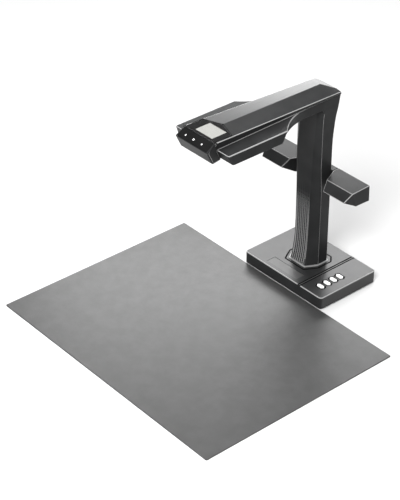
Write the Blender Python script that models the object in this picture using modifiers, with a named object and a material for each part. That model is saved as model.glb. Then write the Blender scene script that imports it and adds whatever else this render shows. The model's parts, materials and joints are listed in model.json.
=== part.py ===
"""Overhead book scanner: weighted base, curved column, scanning head, tilting side lights and work mat.

Units are metres, +Z is up and the scanner faces -Y. The origin is the middle of the whole footprint
on the table: the mat lies in front and the base stands behind it.
"""
import math

import bmesh
import bpy
from mathutils import Matrix, Vector

MM = 0.001
GAP = 0.3 * MM                       # air left between pieces that touch or fit

# driving dimensions
BASE_WIDTH = 200 * MM
BASE_DEPTH = 137 * MM
BASE_HEIGHT = 26 * MM
MAT_WIDTH = 547 * MM
MAT_DEPTH = 413 * MM
MAT_THICKNESS = 2 * MM
MAT_GAP = 0.3 * MM
HEAD_TOP = 380 * MM                  # ridge of the head above the table
EAVE_BACK = 370 * MM                 # edge between roof and side at the back of the arm
EAVE_FRONT = 378.2 * MM
ARM_BOTTOM = 348 * MM
WING_TOP = 366 * MM
ARM_X = -10.3 * MM                   # middle plane of column and arm, off the base's middle
HEAD_REACH = 182 * MM                # from the base's front face out to the head's joint with its nose
WING_HALF = 67 * MM
WALL = 2.3 * MM

# places that follow from them
FOOTPRINT_DEPTH = MAT_DEPTH + MAT_GAP + BASE_DEPTH
MAT_FRONT = -FOOTPRINT_DEPTH / 2
BASE_FRONT = MAT_FRONT + MAT_DEPTH + MAT_GAP
BASE_BACK = BASE_FRONT + BASE_DEPTH

# base
BASE_CORNER = 7 * MM
BASE_EDGE = 2 * MM                   # bevel round the top
FOOT_HEIGHT = 1.7 * MM
PLATE_LOW = 2 * MM
PLATE_TOP = 5 * MM
WEIGHT_LOW = PLATE_TOP + GAP
WEIGHT_TOP = 13.3 * MM
COLLAR_TOP = 28 * MM
SEAM_X = 43.5 * MM                   # double line that sets off the key panel
BADGE_X = (-50 * MM, 28 * MM)        # recess for the badge plate: ends, depths behind the front and floor
BADGE_DEPTH = (8.5 * MM, 28.5 * MM)
BADGE_FLOOR = BASE_HEIGHT - 1.1 * MM
KEY_X = 71.5 * MM
KEY_FIRST_DEPTH = 27 * MM
KEY_PITCH = 15.6 * MM
KEY_COUNT = 4
KEY_LENGTH = 18 * MM
KEY_WIDTH = 8.8 * MM
KEY_TOP = BASE_HEIGHT + 0.9 * MM

# column
COLUMN_BOTTOM = COLLAR_TOP + GAP
COLUMN_TOP = ARM_BOTTOM - GAP
COLUMN_HALF = 31 * MM
GROOVE_COUNT = 7
GROOVE_DEPTH = 0.9 * MM
GROOVE_TOP = 190 * MM                # height where the front grooves have faded out
SPINE_DEPTH = 74 * MM                # middle of the steel spine behind the base's front
BOLT_X = (-19.5 * MM, 19.5 * MM)

# side lights
LIGHT_OUTER = 110.4 * MM
LIGHT_INNER = 33.5 * MM
BRACKET_HALF = 32.9 * MM
LIGHT_AXIS_DEPTH = 99.5 * MM
LIGHT_AXIS_Z = 202 * MM
PIN_RADIUS = 3 * MM
PIN_REACH = 48 * MM                  # half length of the hinge pin
TONGUE_HALF_X = 11.5 * MM            # tongue that holds the bracket in the column's back
TONGUE_HALF_Z = 8.5 * MM

PLASTIC_DARK = (0.045, 0.045, 0.05, 1.0)
PLASTIC_GREY = (0.10, 0.10, 0.11, 1.0)
PLASTIC_BLACK = (0.008, 0.008, 0.01, 1.0)
WHITE = (0.85, 0.85, 0.84, 1.0)
SCREEN_GREY = (0.55, 0.57, 0.52, 1.0)
BOARD_GREEN = (0.02, 0.16, 0.07, 1.0)
STEEL = (0.55, 0.56, 0.58, 1.0)
RUBBER = (0.02, 0.02, 0.02, 1.0)
GLASS = (0.10, 0.11, 0.13, 1.0)
CABLE = (0.03, 0.03, 0.03, 1.0)
MAT_COLOUR = (0.035, 0.035, 0.04, 1.0)

for old in list(bpy.data.objects):
    bpy.data.objects.remove(old, do_unlink=True)

PARTS = bpy.data.collections.new("book_scanner")
CUTTERS = bpy.data.collections.new("cutters")
bpy.context.scene.collection.children.link(PARTS)
bpy.context.scene.collection.children.link(CUTTERS)


def at(x, depth, z):
    """Point at x from the arm's middle plane, depth behind the base's front face and height z."""
    return Vector((ARM_X + x, BASE_FRONT + depth, z))


def material(name, colour, roughness=0.45, metallic=0.0):
    made = bpy.data.materials.new(name)
    made.use_nodes = True
    shader = made.node_tree.nodes["Principled BSDF"]
    shader.inputs["Base Color"].default_value = colour
    shader.inputs["Roughness"].default_value = roughness
    shader.inputs["Metallic"].default_value = metallic
    made.diffuse_color = colour
    return made


def place(name, mesh, colour, roughness=0.45, metallic=0.0, pivot=None):
    """Put a mesh given in world space into the part, with its origin on the pivot if it has one."""
    if pivot is not None:
        mesh.transform(Matrix.Translation(-Vector(pivot)))
    obj = bpy.data.objects.new(name, mesh)
    if pivot is not None:
        obj.location = pivot
    mesh.materials.clear()
    mesh.materials.append(material(name, colour, roughness, metallic))
    PARTS.objects.link(obj)
    return obj


def cutter(mesh, name="cutter"):
    obj = bpy.data.objects.new(name, mesh)
    obj.hide_render = True
    obj.display_type = "WIRE"
    CUTTERS.objects.link(obj)
    return obj


def boolean(obj, mesh, operation="DIFFERENCE"):
    """Cut a world-space mesh from an object, or join it on."""
    mod = obj.modifiers.new(operation.lower(), "BOOLEAN")
    mod.operation = operation
    mod.solver = "EXACT"
    mod.object = cutter(mesh, f"{obj.name}_{operation.lower()}")
    return obj


def bevel(obj, width, segments=1):
    mod = obj.modifiers.new("edges", "BEVEL")
    mod.width = width
    mod.segments = segments
    mod.limit_method = "ANGLE"
    mod.angle_limit = math.radians(35)
    return obj


def finished(bm, name="shape"):
    bmesh.ops.recalc_face_normals(bm, faces=bm.faces)
    mesh = bpy.data.meshes.new(name)
    bm.to_mesh(mesh)
    bm.free()
    return mesh


def box(low, high):
    """Box between two world corners."""
    low, high = Vector(low), Vector(high)
    bm = bmesh.new()
    bmesh.ops.create_cube(bm, size=1.0)
    size = high - low
    bmesh.ops.scale(bm, vec=size, verts=bm.verts)
    bmesh.ops.translate(bm, vec=(low + high) / 2, verts=bm.verts)
    return finished(bm)


def rod(start, end, radius, segments=20):
    """Cylinder from one world point to another."""
    start, end = Vector(start), Vector(end)
    along = end - start
    bm = bmesh.new()
    bmesh.ops.create_cone(
        bm, cap_ends=True, segments=segments, radius1=radius, radius2=radius, depth=along.length)
    turn = Vector((0, 0, 1)).rotation_difference(along.normalized()).to_matrix().to_4x4()
    bm.transform(Matrix.Translation((start + end) / 2) @ turn)
    mesh = finished(bm)
    mesh.shade_smooth()
    mesh.set_sharp_from_angle(angle=math.radians(40))
    return mesh


PLANES = {
    "XY": Matrix.Identity(3),
    "YZ": Matrix(((0, 0, 1), (1, 0, 0), (0, 1, 0))),
    "XZ": Matrix(((1, 0, 0), (0, 0, -1), (0, 1, 0))),
}


def extruded(outline, low, high, plane="XY"):
    """Flat outline in a world plane, filled and extruded between two places on the third axis."""
    curve = bpy.data.curves.new("outline", "CURVE")
    curve.dimensions = "2D"
    curve.fill_mode = "BOTH"
    curve.extrude = (high - low) / 2
    spline = curve.splines.new("POLY")
    spline.points.add(len(outline) - 1)
    for point, (a, b) in zip(spline.points, outline):
        point.co = (a, b, 0, 1)
    spline.use_cyclic_u = True
    guide = bpy.data.objects.new("outline", curve)
    bpy.context.scene.collection.objects.link(guide)
    middle = (low + high) / 2
    offset = {"XY": (0, 0, middle), "YZ": (middle, 0, 0), "XZ": (0, middle, 0)}[plane]
    guide.matrix_world = Matrix.Translation(offset) @ PLANES[plane].to_4x4()
    bpy.context.view_layer.update()
    solid = bpy.data.meshes.new_from_object(guide.evaluated_get(bpy.context.evaluated_depsgraph_get()))
    solid.transform(guide.matrix_world)
    bpy.data.objects.remove(guide, do_unlink=True)
    bm = bmesh.new()
    bm.from_mesh(solid)
    bmesh.ops.remove_doubles(bm, verts=bm.verts, dist=0.01 * MM)
    bmesh.ops.dissolve_limit(bm, angle_limit=0.001, verts=bm.verts, edges=bm.edges)
    return finished(bm)


def loft(sections):
    """Closed body over sections that have the same number of points."""
    bm = bmesh.new()
    rings = [[bm.verts.new(point) for point in section] for section in sections]
    count = len(rings[0])
    for ring, following in zip(rings, rings[1:]):
        for i in range(count):
            j = (i + 1) % count
            bm.faces.new((ring[i], ring[j], following[j], following[i]))
    bm.faces.new(rings[0][::-1])
    bm.faces.new(rings[-1])
    return finished(bm)


def slice_off(mesh, point, normal):
    """Take away what lies beyond a plane, on the side its normal points to, and close the cut."""
    bm = bmesh.new()
    bm.from_mesh(mesh)
    cut = bmesh.ops.bisect_plane(
        bm, geom=bm.verts[:] + bm.edges[:] + bm.faces[:], dist=0.001 * MM,
        plane_co=point, plane_no=normal, clear_outer=True)
    rim = [item for item in cut["geom_cut"] if isinstance(item, bmesh.types.BMEdge)]
    bmesh.ops.contextual_create(bm, geom=rim)
    return finished(bm)


def rounded(x0, x1, y0, y1, radius, steps=4):
    """Rectangle outline with round corners."""
    points = []
    corners = ((x1, y1, 0), (x0, y1, 90), (x0, y0, 180), (x1, y0, 270))
    for x, y, start in corners:
        cx = x - math.copysign(radius, x - (x0 + x1) / 2)
        cy = y - math.copysign(radius, y - (y0 + y1) / 2)
        for step in range(steps + 1):
            angle = math.radians(start + 90 * step / steps)
            points.append((cx + radius * math.cos(angle), cy + radius * math.sin(angle)))
    return points


def blend(value, low, high, start, end):
    """Smooth step of a height between two levels."""
    t = min(max((value - low) / (high - low), 0.0), 1.0)
    return start + (end - start) * t * t * (3 - 2 * t)


# ------------------------------------------------------------------ base

def base_outline(inset, radius):
    return rounded(-BASE_WIDTH / 2 + inset, BASE_WIDTH / 2 - inset,
                   BASE_FRONT + inset, BASE_BACK - inset, radius)


def octagon(half, front, back, chamfer_front, chamfer_back):
    """Outline round the column's foot, in world X and Y."""
    return [(ARM_X + x, BASE_FRONT + depth) for x, depth in (
        (half - chamfer_front[0], front), (half, front + chamfer_front[1]),
        (half, back - chamfer_back), (half - chamfer_back, back),
        (-half + chamfer_back, back), (-half, back - chamfer_back),
        (-half, front + chamfer_front[1]), (-half + chamfer_front[0], front))]


def key_depth(number):
    return KEY_FIRST_DEPTH + KEY_PITCH * number


def key_outline(number, grow=0.0):
    """Long hexagon across the panel."""
    half_x = KEY_LENGTH / 2 + grow
    half_y = KEY_WIDTH / 2 + grow
    point = 3.2 * MM
    middle = BASE_FRONT + key_depth(number)
    return [(KEY_X + x, middle + y) for x, y in (
        (half_x, 0), (half_x - point, half_y), (-half_x + point, half_y),
        (-half_x, 0), (-half_x + point, -half_y), (half_x - point, -half_y))]


SCREW_SPOTS = [(x, BASE_FRONT + depth) for x in (-86 * MM, 86 * MM) for depth in (14 * MM, 123 * MM)]
FOOT_SPOTS = [(x, BASE_FRONT + depth) for x in (-82 * MM, 82 * MM) for depth in (34 * MM, 103 * MM)]
SCREW_BORE = 1.6 * MM
BOLT_BORE = 1.8 * MM
SPINE_HALF_X = 15 * MM
SPINE_HALF_Y = 8 * MM
SOCKETS = {                          # middle x, half width, low z, high z of each rear opening
    "dc_socket": (-62 * MM, 5 * MM, 9 * MM, 19 * MM),
    "usb_socket": (-38 * MM, 6.5 * MM, 8.5 * MM, 19.5 * MM),
    "hdmi_socket": (-10 * MM, 8 * MM, 10.5 * MM, 17 * MM),
    "power_switch_frame": (62 * MM, 11 * MM, 7 * MM, 20.5 * MM),
}
SOCKET_LENGTH = 11 * MM


def make_base():
    levels = ((2.3 * MM, 0.6 * MM), (3.2 * MM, 0.0), (BASE_HEIGHT - BASE_EDGE, 0.0),
              (BASE_HEIGHT - 0.6 * MM, 0.6 * MM), (BASE_HEIGHT, BASE_EDGE))
    shell = loft([[(x, y, z) for x, y in base_outline(inset, BASE_CORNER - inset)]
                  for z, inset in levels])
    cover = place("base_top_cover", shell, PLASTIC_GREY, 0.42)
    boolean(cover, extruded(base_outline(WALL, BASE_CORNER - WALL), 0, BASE_HEIGHT - WALL))
    for x, y in SCREW_SPOTS:
        boolean(cover, rod((x, y, PLATE_TOP + GAP), (x, y, BASE_HEIGHT - 1.5 * MM), 4 * MM, 16), "UNION")
        boolean(cover, rod((x, y, 0), (x, y, 14 * MM), SCREW_BORE, 12))
    ring_out = octagon(38 * MM, 39 * MM, 107 * MM, (14 * MM, 25 * MM), 12 * MM)
    ring_in = octagon(36.8 * MM, 40.4 * MM, 105.8 * MM, (14 * MM, 24.4 * MM), 11.6 * MM)
    groove = extruded(ring_out, BASE_HEIGHT - 0.8 * MM, BASE_HEIGHT + 1 * MM)
    island = extruded(ring_in, BASE_HEIGHT - 2 * MM, BASE_HEIGHT + 2 * MM)
    ring = boolean(cutter(groove, "ring_groove"), island)
    mod = cover.modifiers.new("ring", "BOOLEAN")
    mod.operation = "DIFFERENCE"
    mod.object = ring
    for offset in (-1.6 * MM, 1.6 * MM):
        x = SEAM_X + offset
        boolean(cover, box((x - 0.5 * MM, BASE_FRONT - 1 * MM, BASE_HEIGHT - 0.7 * MM),
                           (x + 0.5 * MM, BASE_BACK + 1 * MM, BASE_HEIGHT + 1 * MM)))
    badge_low, badge_high = BASE_FRONT + BADGE_DEPTH[0], BASE_FRONT + BADGE_DEPTH[1]
    boolean(cover, box((BADGE_X[0], badge_low, BADGE_FLOOR), (BADGE_X[1], badge_high, BASE_HEIGHT + 1 * MM)))
    for number in range(KEY_COUNT):
        boolean(cover, extruded(key_outline(number, 1.5 * MM), 20 * MM, 30 * MM))
    boolean(cover, box(at(-SPINE_HALF_X - 1 * MM, SPINE_DEPTH - SPINE_HALF_Y - 1 * MM, 20 * MM),
                       at(SPINE_HALF_X + 1 * MM, SPINE_DEPTH + SPINE_HALF_Y + 1 * MM, 30 * MM)))
    for middle, half, low, high in SOCKETS.values():
        boolean(cover, box((middle - half - GAP, BASE_BACK - 5 * MM, low - GAP),
                           (middle + half + GAP, BASE_BACK + 2 * MM, high + GAP)))

    plate = place("base_bottom_plate", extruded(base_outline(WALL + GAP, BASE_CORNER - WALL - GAP),
                                                PLATE_LOW, PLATE_TOP), PLASTIC_DARK, 0.5)
    profile = ((0, 2.1), (2.7, 2.1), (2.7, 3.5), (1.3, 3.5), (1.3, 11.5), (0, 12.2))
    for number, (x, y) in enumerate(SCREW_SPOTS, 1):
        boolean(plate, rod((x, y, 0), (x, y, 10 * MM), SCREW_BORE, 12))
        boolean(plate, rod((x, y, 0), (x, y, PLATE_LOW + 1.8 * MM), 3.1 * MM, 16))
        place(f"base_screw_{number}", turned(profile, (x, y, 0), 12), STEEL, 0.3, 1.0)
    for number, (x, y) in enumerate(FOOT_SPOTS, 1):
        place(f"rubber_foot_{number}", rod((x, y, 0), (x, y, FOOT_HEIGHT), 8 * MM, 24), RUBBER, 0.9)

    place("base_weight", box((-78 * MM, BASE_FRONT + 22 * MM, WEIGHT_LOW),
                             (78 * MM, BASE_FRONT + 114 * MM, WEIGHT_TOP)), STEEL, 0.5, 1.0)
    badge = box((BADGE_X[0] + GAP, badge_low + GAP, BADGE_FLOOR + GAP),
                (BADGE_X[1] - GAP, badge_high - GAP, BASE_HEIGHT - 0.3 * MM))
    place("badge_plate", badge, PLASTIC_GREY, 0.3)


def turned(profile, foot, segments):
    """Solid of revolution about a vertical axis through foot; the profile is radius and height in mm."""
    bm = bmesh.new()
    points = [bm.verts.new((radius * MM, 0, height * MM)) for radius, height in profile]
    edges = [bm.edges.new(pair) for pair in zip(points, points[1:])]
    bmesh.ops.spin(bm, geom=points + edges, axis=(0, 0, 1), cent=(0, 0, 0), dvec=(0, 0, 0),
                   angle=2 * math.pi, steps=segments, use_merge=True)
    bmesh.ops.remove_doubles(bm, verts=bm.verts, dist=0.01 * MM)
    bmesh.ops.translate(bm, vec=foot, verts=bm.verts)
    mesh = finished(bm)
    mesh.shade_smooth()
    mesh.set_sharp_from_angle(angle=math.radians(40))
    return mesh


def make_keys():
    """Four sprung keys, the frame that rims them and the board with their switches."""
    top, low = BASE_HEIGHT + 0.2 * MM, BASE_HEIGHT - WALL - 1.5 * MM
    x0, x1 = KEY_X - 14 * MM, KEY_X + 14 * MM
    y0 = BASE_FRONT + key_depth(0) - 9 * MM
    y1 = BASE_FRONT + key_depth(KEY_COUNT - 1) + 9 * MM
    frame = place("key_frame", box((x0, y0, low), (x1, y1, BASE_HEIGHT - WALL - GAP)), PLASTIC_BLACK, 0.25)
    board_z = 16 * MM
    board = place("key_board", box((KEY_X - 10 * MM, y0, board_z - 1.6 * MM), (KEY_X + 10 * MM, y1, board_z)),
                  BOARD_GREEN, 0.5)
    for number in range(KEY_COUNT):
        boolean(frame, extruded(key_outline(number, 1.2 * MM), low + 0.5 * MM, top), "UNION")
        middle = BASE_FRONT + key_depth(number)
        boolean(board, box((KEY_X - 3 * MM, middle - 3 * MM, board_z - 1 * MM),
                           (KEY_X + 3 * MM, middle + 3 * MM, board_z + 3.2 * MM)), "UNION")
        pivot = (KEY_X, middle, KEY_TOP)
        key = place(f"key_{number + 1}", extruded(key_outline(number), BASE_HEIGHT - 3.4 * MM, KEY_TOP),
                    WHITE, 0.3, 0.0, pivot)
        bevel(key, 0.5 * MM)
        stem = rod((KEY_X, middle, 20.8 * MM), (KEY_X, middle, BASE_HEIGHT - 2.5 * MM), 1.5 * MM, 12)
        boolean(key, stem, "UNION")
    for number in range(KEY_COUNT):
        boolean(frame, extruded(key_outline(number, GAP), low - 5 * MM, top + 5 * MM))


def socket_block(name, colour, metallic=0.0):
    middle, half, low, high = SOCKETS[name]
    block = box((middle - half, BASE_BACK - SOCKET_LENGTH, low), (middle + half, BASE_BACK - 0.2 * MM, high))
    return place(name, block, colour, 0.35, metallic), middle, (low + high) / 2


def make_sockets():
    place("main_board", box((-78 * MM, BASE_BACK - 40 * MM, 21 * MM),
                            (30 * MM, BASE_BACK - 5 * MM, 22.6 * MM)), BOARD_GREEN, 0.5)
    mouth = BASE_BACK + 1 * MM
    floor = BASE_BACK - 9 * MM
    block, x, z = socket_block("dc_socket", PLASTIC_BLACK)
    boolean(block, rod((x, floor, z), (x, mouth, z), 2.9 * MM, 20))
    boolean(block, rod((x, floor - 1 * MM, z), (x, BASE_BACK - 1.5 * MM, z), 1 * MM, 12), "UNION")
    block, x, z = socket_block("usb_socket", STEEL, 1.0)
    boolean(block, box((x - 4.4 * MM, floor, z - 3.9 * MM), (x + 4.4 * MM, mouth, z + 3.9 * MM)))
    boolean(block, box((x - 2.8 * MM, floor - 1 * MM, z - 1.6 * MM),
                       (x + 2.8 * MM, BASE_BACK - 1 * MM, z + 1.6 * MM)), "UNION")
    block, x, z = socket_block("hdmi_socket", STEEL, 1.0)
    boolean(block, box((x - 7 * MM, floor, z - 2.2 * MM), (x + 7 * MM, mouth, z + 2.2 * MM)))
    boolean(block, box((x - 5.5 * MM, floor - 1 * MM, z - 0.7 * MM),
                       (x + 5.5 * MM, BASE_BACK - 1 * MM, z + 0.7 * MM)), "UNION")


ROCKER_HALF = 8 * MM
ROCKER_TILT = math.radians(7)


def make_power_switch():
    frame, x, z = socket_block("power_switch_frame", PLASTIC_BLACK)
    high = SOCKETS["power_switch_frame"][3]
    half_z = high - z - 1.5 * MM
    boolean(frame, box((x - ROCKER_HALF - 1.2 * MM, BASE_BACK - 9.5 * MM, z - half_z),
                       (x + ROCKER_HALF + 1.2 * MM, BASE_BACK + 1 * MM, z + half_z)))
    axis_y = BASE_BACK - 5 * MM
    # the face is a shallow V and the rocker stands pressed at its -X end
    outline = [(-ROCKER_HALF, 3.8 * MM), (0, 2.8 * MM), (ROCKER_HALF, 3.8 * MM),
               (ROCKER_HALF, 1.0 * MM), (3 * MM, -2.5 * MM), (-3 * MM, -2.5 * MM), (-ROCKER_HALF, 1.0 * MM)]
    cos, sin = math.cos(ROCKER_TILT), math.sin(ROCKER_TILT)
    tilted = [(x + a * cos - b * sin, axis_y + a * sin + b * cos) for a, b in outline]
    rocker = extruded(tilted, z - half_z + GAP, z + half_z - GAP)
    place("power_rocker", rocker, PLASTIC_BLACK, 0.3, 0.0, (x, axis_y, z))


# ------------------------------------------------------------------ column

def column_front(z):
    """Depth and half width of the column's front face at a height."""
    flare = 9.6 * MM * math.exp(-(z - BASE_HEIGHT) / (26 * MM))
    depth = 55.8 * MM - flare + blend(z, 250 * MM, 325 * MM, 0, 4.4 * MM)
    half = 17.6 * MM + 1.9 * MM * math.exp(-(z - BASE_HEIGHT) / (20 * MM))
    half += blend(z, 90 * MM, 300 * MM, 0, 3.4 * MM)
    return depth, half


def column_side(z):
    """Depth where the chamfer meets the side."""
    return 69 * MM - blend(z, 170 * MM, 240 * MM, 0, 3.5 * MM)


def column_back(z):
    return 92 * MM + blend(z, 262 * MM, 433 * MM, 0, 18 * MM)


def grooved_front(z):
    """Points across the front face, with narrow channels whose depth fades with height."""
    depth, half = column_front(z)
    fade = max(0.0, 1 - (z - BASE_HEIGHT) / (GROOVE_TOP - BASE_HEIGHT))
    cut = max(GROOVE_DEPTH * min(1.0, 1.6 * fade), 0.01 * MM)
    pitch = 2 * half / (GROOVE_COUNT + 1)
    width = 0.28 * pitch
    points = [(-half, depth)]
    for number in range(GROOVE_COUNT):
        middle = -half + pitch * (number + 1)
        points += [(middle - width, depth), (middle - width * 0.6, depth + cut),
                   (middle + width * 0.6, depth + cut), (middle + width, depth)]
    points.append((half, depth))
    return points


def front_section(z):
    depth, half = column_front(z)
    side = column_side(z) - GAP / 2
    outer = [(-COLUMN_HALF, side), *grooved_front(z), (COLUMN_HALF, side)]
    inner = [(COLUMN_HALF - WALL * 1.3, side), (half - WALL * 0.6, depth + WALL * 1.2),
             (-half + WALL * 0.6, depth + WALL * 1.2), (-COLUMN_HALF + WALL * 1.3, side)]
    return [at(x, d, z) for x, d in outer + inner]


def rear_section(z):
    side, back = column_side(z) + GAP / 2, column_back(z)
    corner = 3 * MM
    half, wall = COLUMN_HALF, WALL
    outer = [(half, side), (half, back - corner), (half - 0.3 * corner, back - 0.3 * corner),
             (half - corner, back)]
    inner = [(half - wall, side), (half - wall, back - corner), (half - corner, back - wall)]
    ring = outer + [(-x, d) for x, d in outer[::-1]] + [(-x, d) for x, d in inner] + inner[::-1]
    return [at(x, d, z) for x, d in ring]


def make_column():
    foot_heights = [COLUMN_BOTTOM + step * 6 * MM for step in range(6)]
    heights = foot_heights + [70 * MM, 85 * MM, 105 * MM, 130 * MM, 160 * MM, GROOVE_TOP, 205 * MM,
                              222 * MM, 240 * MM, 262 * MM, 285 * MM, 305 * MM, 325 * MM, COLUMN_TOP]
    place("column_front_cover", loft([front_section(z) for z in heights]), PLASTIC_DARK, 0.4)
    back_heights = [COLUMN_BOTTOM, 170 * MM, 205 * MM, 240 * MM, 262 * MM, 285 * MM, 305 * MM,
                    325 * MM, COLUMN_TOP]
    rear = place("column_rear_shell", loft([rear_section(z) for z in back_heights]), PLASTIC_DARK, 0.42)
    # opening for the bracket's tongue
    boolean(rear, box(at(-TONGUE_HALF_X - 0.5 * MM, 80 * MM, LIGHT_AXIS_Z - TONGUE_HALF_Z - 0.5 * MM),
                      at(TONGUE_HALF_X + 0.5 * MM, 100 * MM, LIGHT_AXIS_Z + TONGUE_HALF_Z + 0.5 * MM)))

    depth, half = column_front(COLUMN_BOTTOM)
    collar = extruded(octagon(33.5 * MM, depth - 2.5 * MM, 94.5 * MM, (13 * MM, 22 * MM), 4 * MM),
                      BASE_HEIGHT + GAP, COLLAR_TOP)
    collar = place("foot_collar", collar, PLASTIC_GREY, 0.3)
    boolean(collar, box(at(-SPINE_HALF_X - 1 * MM, SPINE_DEPTH - SPINE_HALF_Y - 1 * MM, 20 * MM),
                        at(SPINE_HALF_X + 1 * MM, SPINE_DEPTH + SPINE_HALF_Y + 1 * MM, 30 * MM)))

    # steel tube from the weight up into the arm, with a flange at each end
    low, high = WEIGHT_TOP + GAP, ARM_BOTTOM + 5 * MM
    spine = place("column_spine", box(at(-SPINE_HALF_X, SPINE_DEPTH - SPINE_HALF_Y, low),
                                      at(SPINE_HALF_X, SPINE_DEPTH + SPINE_HALF_Y, high)), STEEL, 0.4, 1.0)
    for z0, z1 in ((low, low + 2 * MM), (high - 2 * MM, high)):
        flange = box(at(-24 * MM, SPINE_DEPTH - 11 * MM, z0), at(24 * MM, SPINE_DEPTH + 11 * MM, z1))
        boolean(spine, flange, "UNION")
    boolean(spine, box(at(-SPINE_HALF_X + 1.5 * MM, SPINE_DEPTH - SPINE_HALF_Y + 1.5 * MM, 0),
                       at(SPINE_HALF_X - 1.5 * MM, SPINE_DEPTH + SPINE_HALF_Y - 1.5 * MM, 400 * MM)))
    base_bolt = ((0, 7.5), (1.4, 7.5), (1.4, 15.9), (2.8, 15.9), (2.8, 18.4), (0, 18.4))
    arm_bolt = ((0, 350.6), (1.4, 350.6), (1.4, 355.1), (2.8, 355.1), (2.8, 357.6), (0, 357.6))
    for number, x in enumerate(BOLT_X, 1):
        foot = at(x, SPINE_DEPTH, 0)
        boolean(spine, rod(foot, foot + Vector((0, 0, 400 * MM)), BOLT_BORE, 12))
        place(f"spine_bolt_{number}", turned(base_bolt, foot, 12), STEEL, 0.3, 1.0)
        place(f"arm_bolt_{number}", turned(arm_bolt, foot, 12), STEEL, 0.3, 1.0)
        boolean(bpy.data.objects["base_weight"], rod(foot + Vector((0, 0, 6.5 * MM)),
                                                     foot + Vector((0, 0, 30 * MM)), BOLT_BORE, 12))


# ------------------------------------------------------------------ arm and head

def housing_outline(inset, level, back):
    """Plan of the lower housing: slim arm at the back that sweeps out into two wings.

    level runs from 0 at the underside to 1 at the wings' top; back is the depth of the rear face.
    """
    arm_half = 33 * MM - inset
    wing_half = WING_HALF + 3.5 * MM * (1 - level) - inset
    sweep_start = 24 * MM - 4 * MM * level
    sweep_end = -67 * MM + 15 * MM * level
    power = 2.0 + 0.1 * level
    front = -HEAD_REACH + 7.7 * MM * (1 - level) + inset
    side = [(arm_half - 3 * MM, back - inset), (arm_half, back - inset - 3 * MM), (arm_half, 62 * MM)]
    steps = 9
    for step in range(steps + 1):
        t = step / steps
        side.append((arm_half + (wing_half - arm_half) * t ** power,
                     sweep_start + (sweep_end - sweep_start) * t))
    side += [(wing_half, front + 5 * MM), (wing_half - 5 * MM, front)]
    return [at(x, d, 0).xy for x, d in side + [(-x, d) for x, d in side[::-1]]]


def with_height(outline, z):
    return [(x, y, z) for x, y in outline]


CAMERA_DEPTH = -140 * MM
LED_X = 55 * MM
LED_HALF = 5 * MM
LED_FRONT = -160 * MM
LED_BACK = -70 * MM
LASER_HALF = 8 * MM
LASER_FRONT = 37 * MM
LASER_BACK = 47 * MM


def make_lower_housing():
    back_low, back_high = column_back(ARM_BOTTOM), column_back(WING_TOP)
    levels = ((ARM_BOTTOM, 0.8 * MM, 0, back_low), (ARM_BOTTOM + 1 * MM, 0, 0.06, back_low),
              (WING_TOP - 1 * MM, 0, 0.94, back_high), (WING_TOP, 0.7 * MM, 1, back_high))
    body = loft([with_height(housing_outline(inset, level, back), z) for z, inset, level, back in levels])
    housing = place("arm_lower_housing", body, PLASTIC_DARK, 0.4)
    hollow = loft([with_height(housing_outline(WALL, 0.1, back_low), ARM_BOTTOM + WALL),
                   with_height(housing_outline(WALL + 0.4 * MM, 0.95, back_high - 1 * MM), WING_TOP - WALL)])
    boolean(housing, hollow)
    # the top is open only where the upper shell covers it
    boolean(housing, box(at(-30 * MM, -178 * MM, WING_TOP - WALL - 1 * MM),
                         at(30 * MM, 98 * MM, WING_TOP + 2 * MM)))
    # way through for the spine's tube
    boolean(housing, box(at(-SPINE_HALF_X - 1 * MM, SPINE_DEPTH - SPINE_HALF_Y - 1 * MM, 340 * MM),
                         at(SPINE_HALF_X + 1 * MM, SPINE_DEPTH + SPINE_HALF_Y + 1 * MM, 360 * MM)))
    boolean(housing, rod(at(0, CAMERA_DEPTH, 340 * MM), at(0, CAMERA_DEPTH, 355 * MM), 17.4 * MM, 32))
    boolean(housing, box(at(-LASER_HALF - GAP, LASER_FRONT - GAP, 340 * MM),
                         at(LASER_HALF + GAP, LASER_BACK + GAP, 355 * MM)))
    for x in (-LED_X, LED_X):
        boolean(housing, box(at(x - LED_HALF - GAP, LED_FRONT - GAP, 340 * MM),
                             at(x + LED_HALF + GAP, LED_BACK + GAP, 355 * MM)))


def shell_section(depth, half, eave, crest_half, crest, floor):
    return [at(x, depth, z) for x, z in (
        (-half, floor), (-half, eave), (-crest_half, crest),
        (crest_half, crest), (half, eave), (half, floor))]


def eave(depth):
    """Height of the roof's lower edge along the arm."""
    t = (102 * MM - depth) / (249 * MM)
    return EAVE_BACK + (EAVE_FRONT - EAVE_BACK) * t


def arm_half(depth):
    t = (104.5 * MM - depth) / (251.5 * MM)
    return 33 * MM + 5.5 * MM * t


BEZEL_TOP = 379.7 * MM
BEZEL_THICKNESS = 2 * MM
BEZEL_OUTLINE = ((-38.5, -185), (-38.3, -147), (0, -134.5), (38.3, -147), (38.5, -185))
SCREEN_X = 2.5 * MM
SCREEN_DEPTH = -163.5 * MM
SCREEN_HALF_X = 20.8 * MM
SCREEN_HALF_Y = 15.8 * MM


def bezel_shape(grow, front, low, high):
    outline = [(ARM_X + x * MM * (1 + grow), BASE_FRONT + (d * MM if d > -150 else front))
               for x, d in BEZEL_OUTLINE]
    return extruded(outline, low, high)


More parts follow.
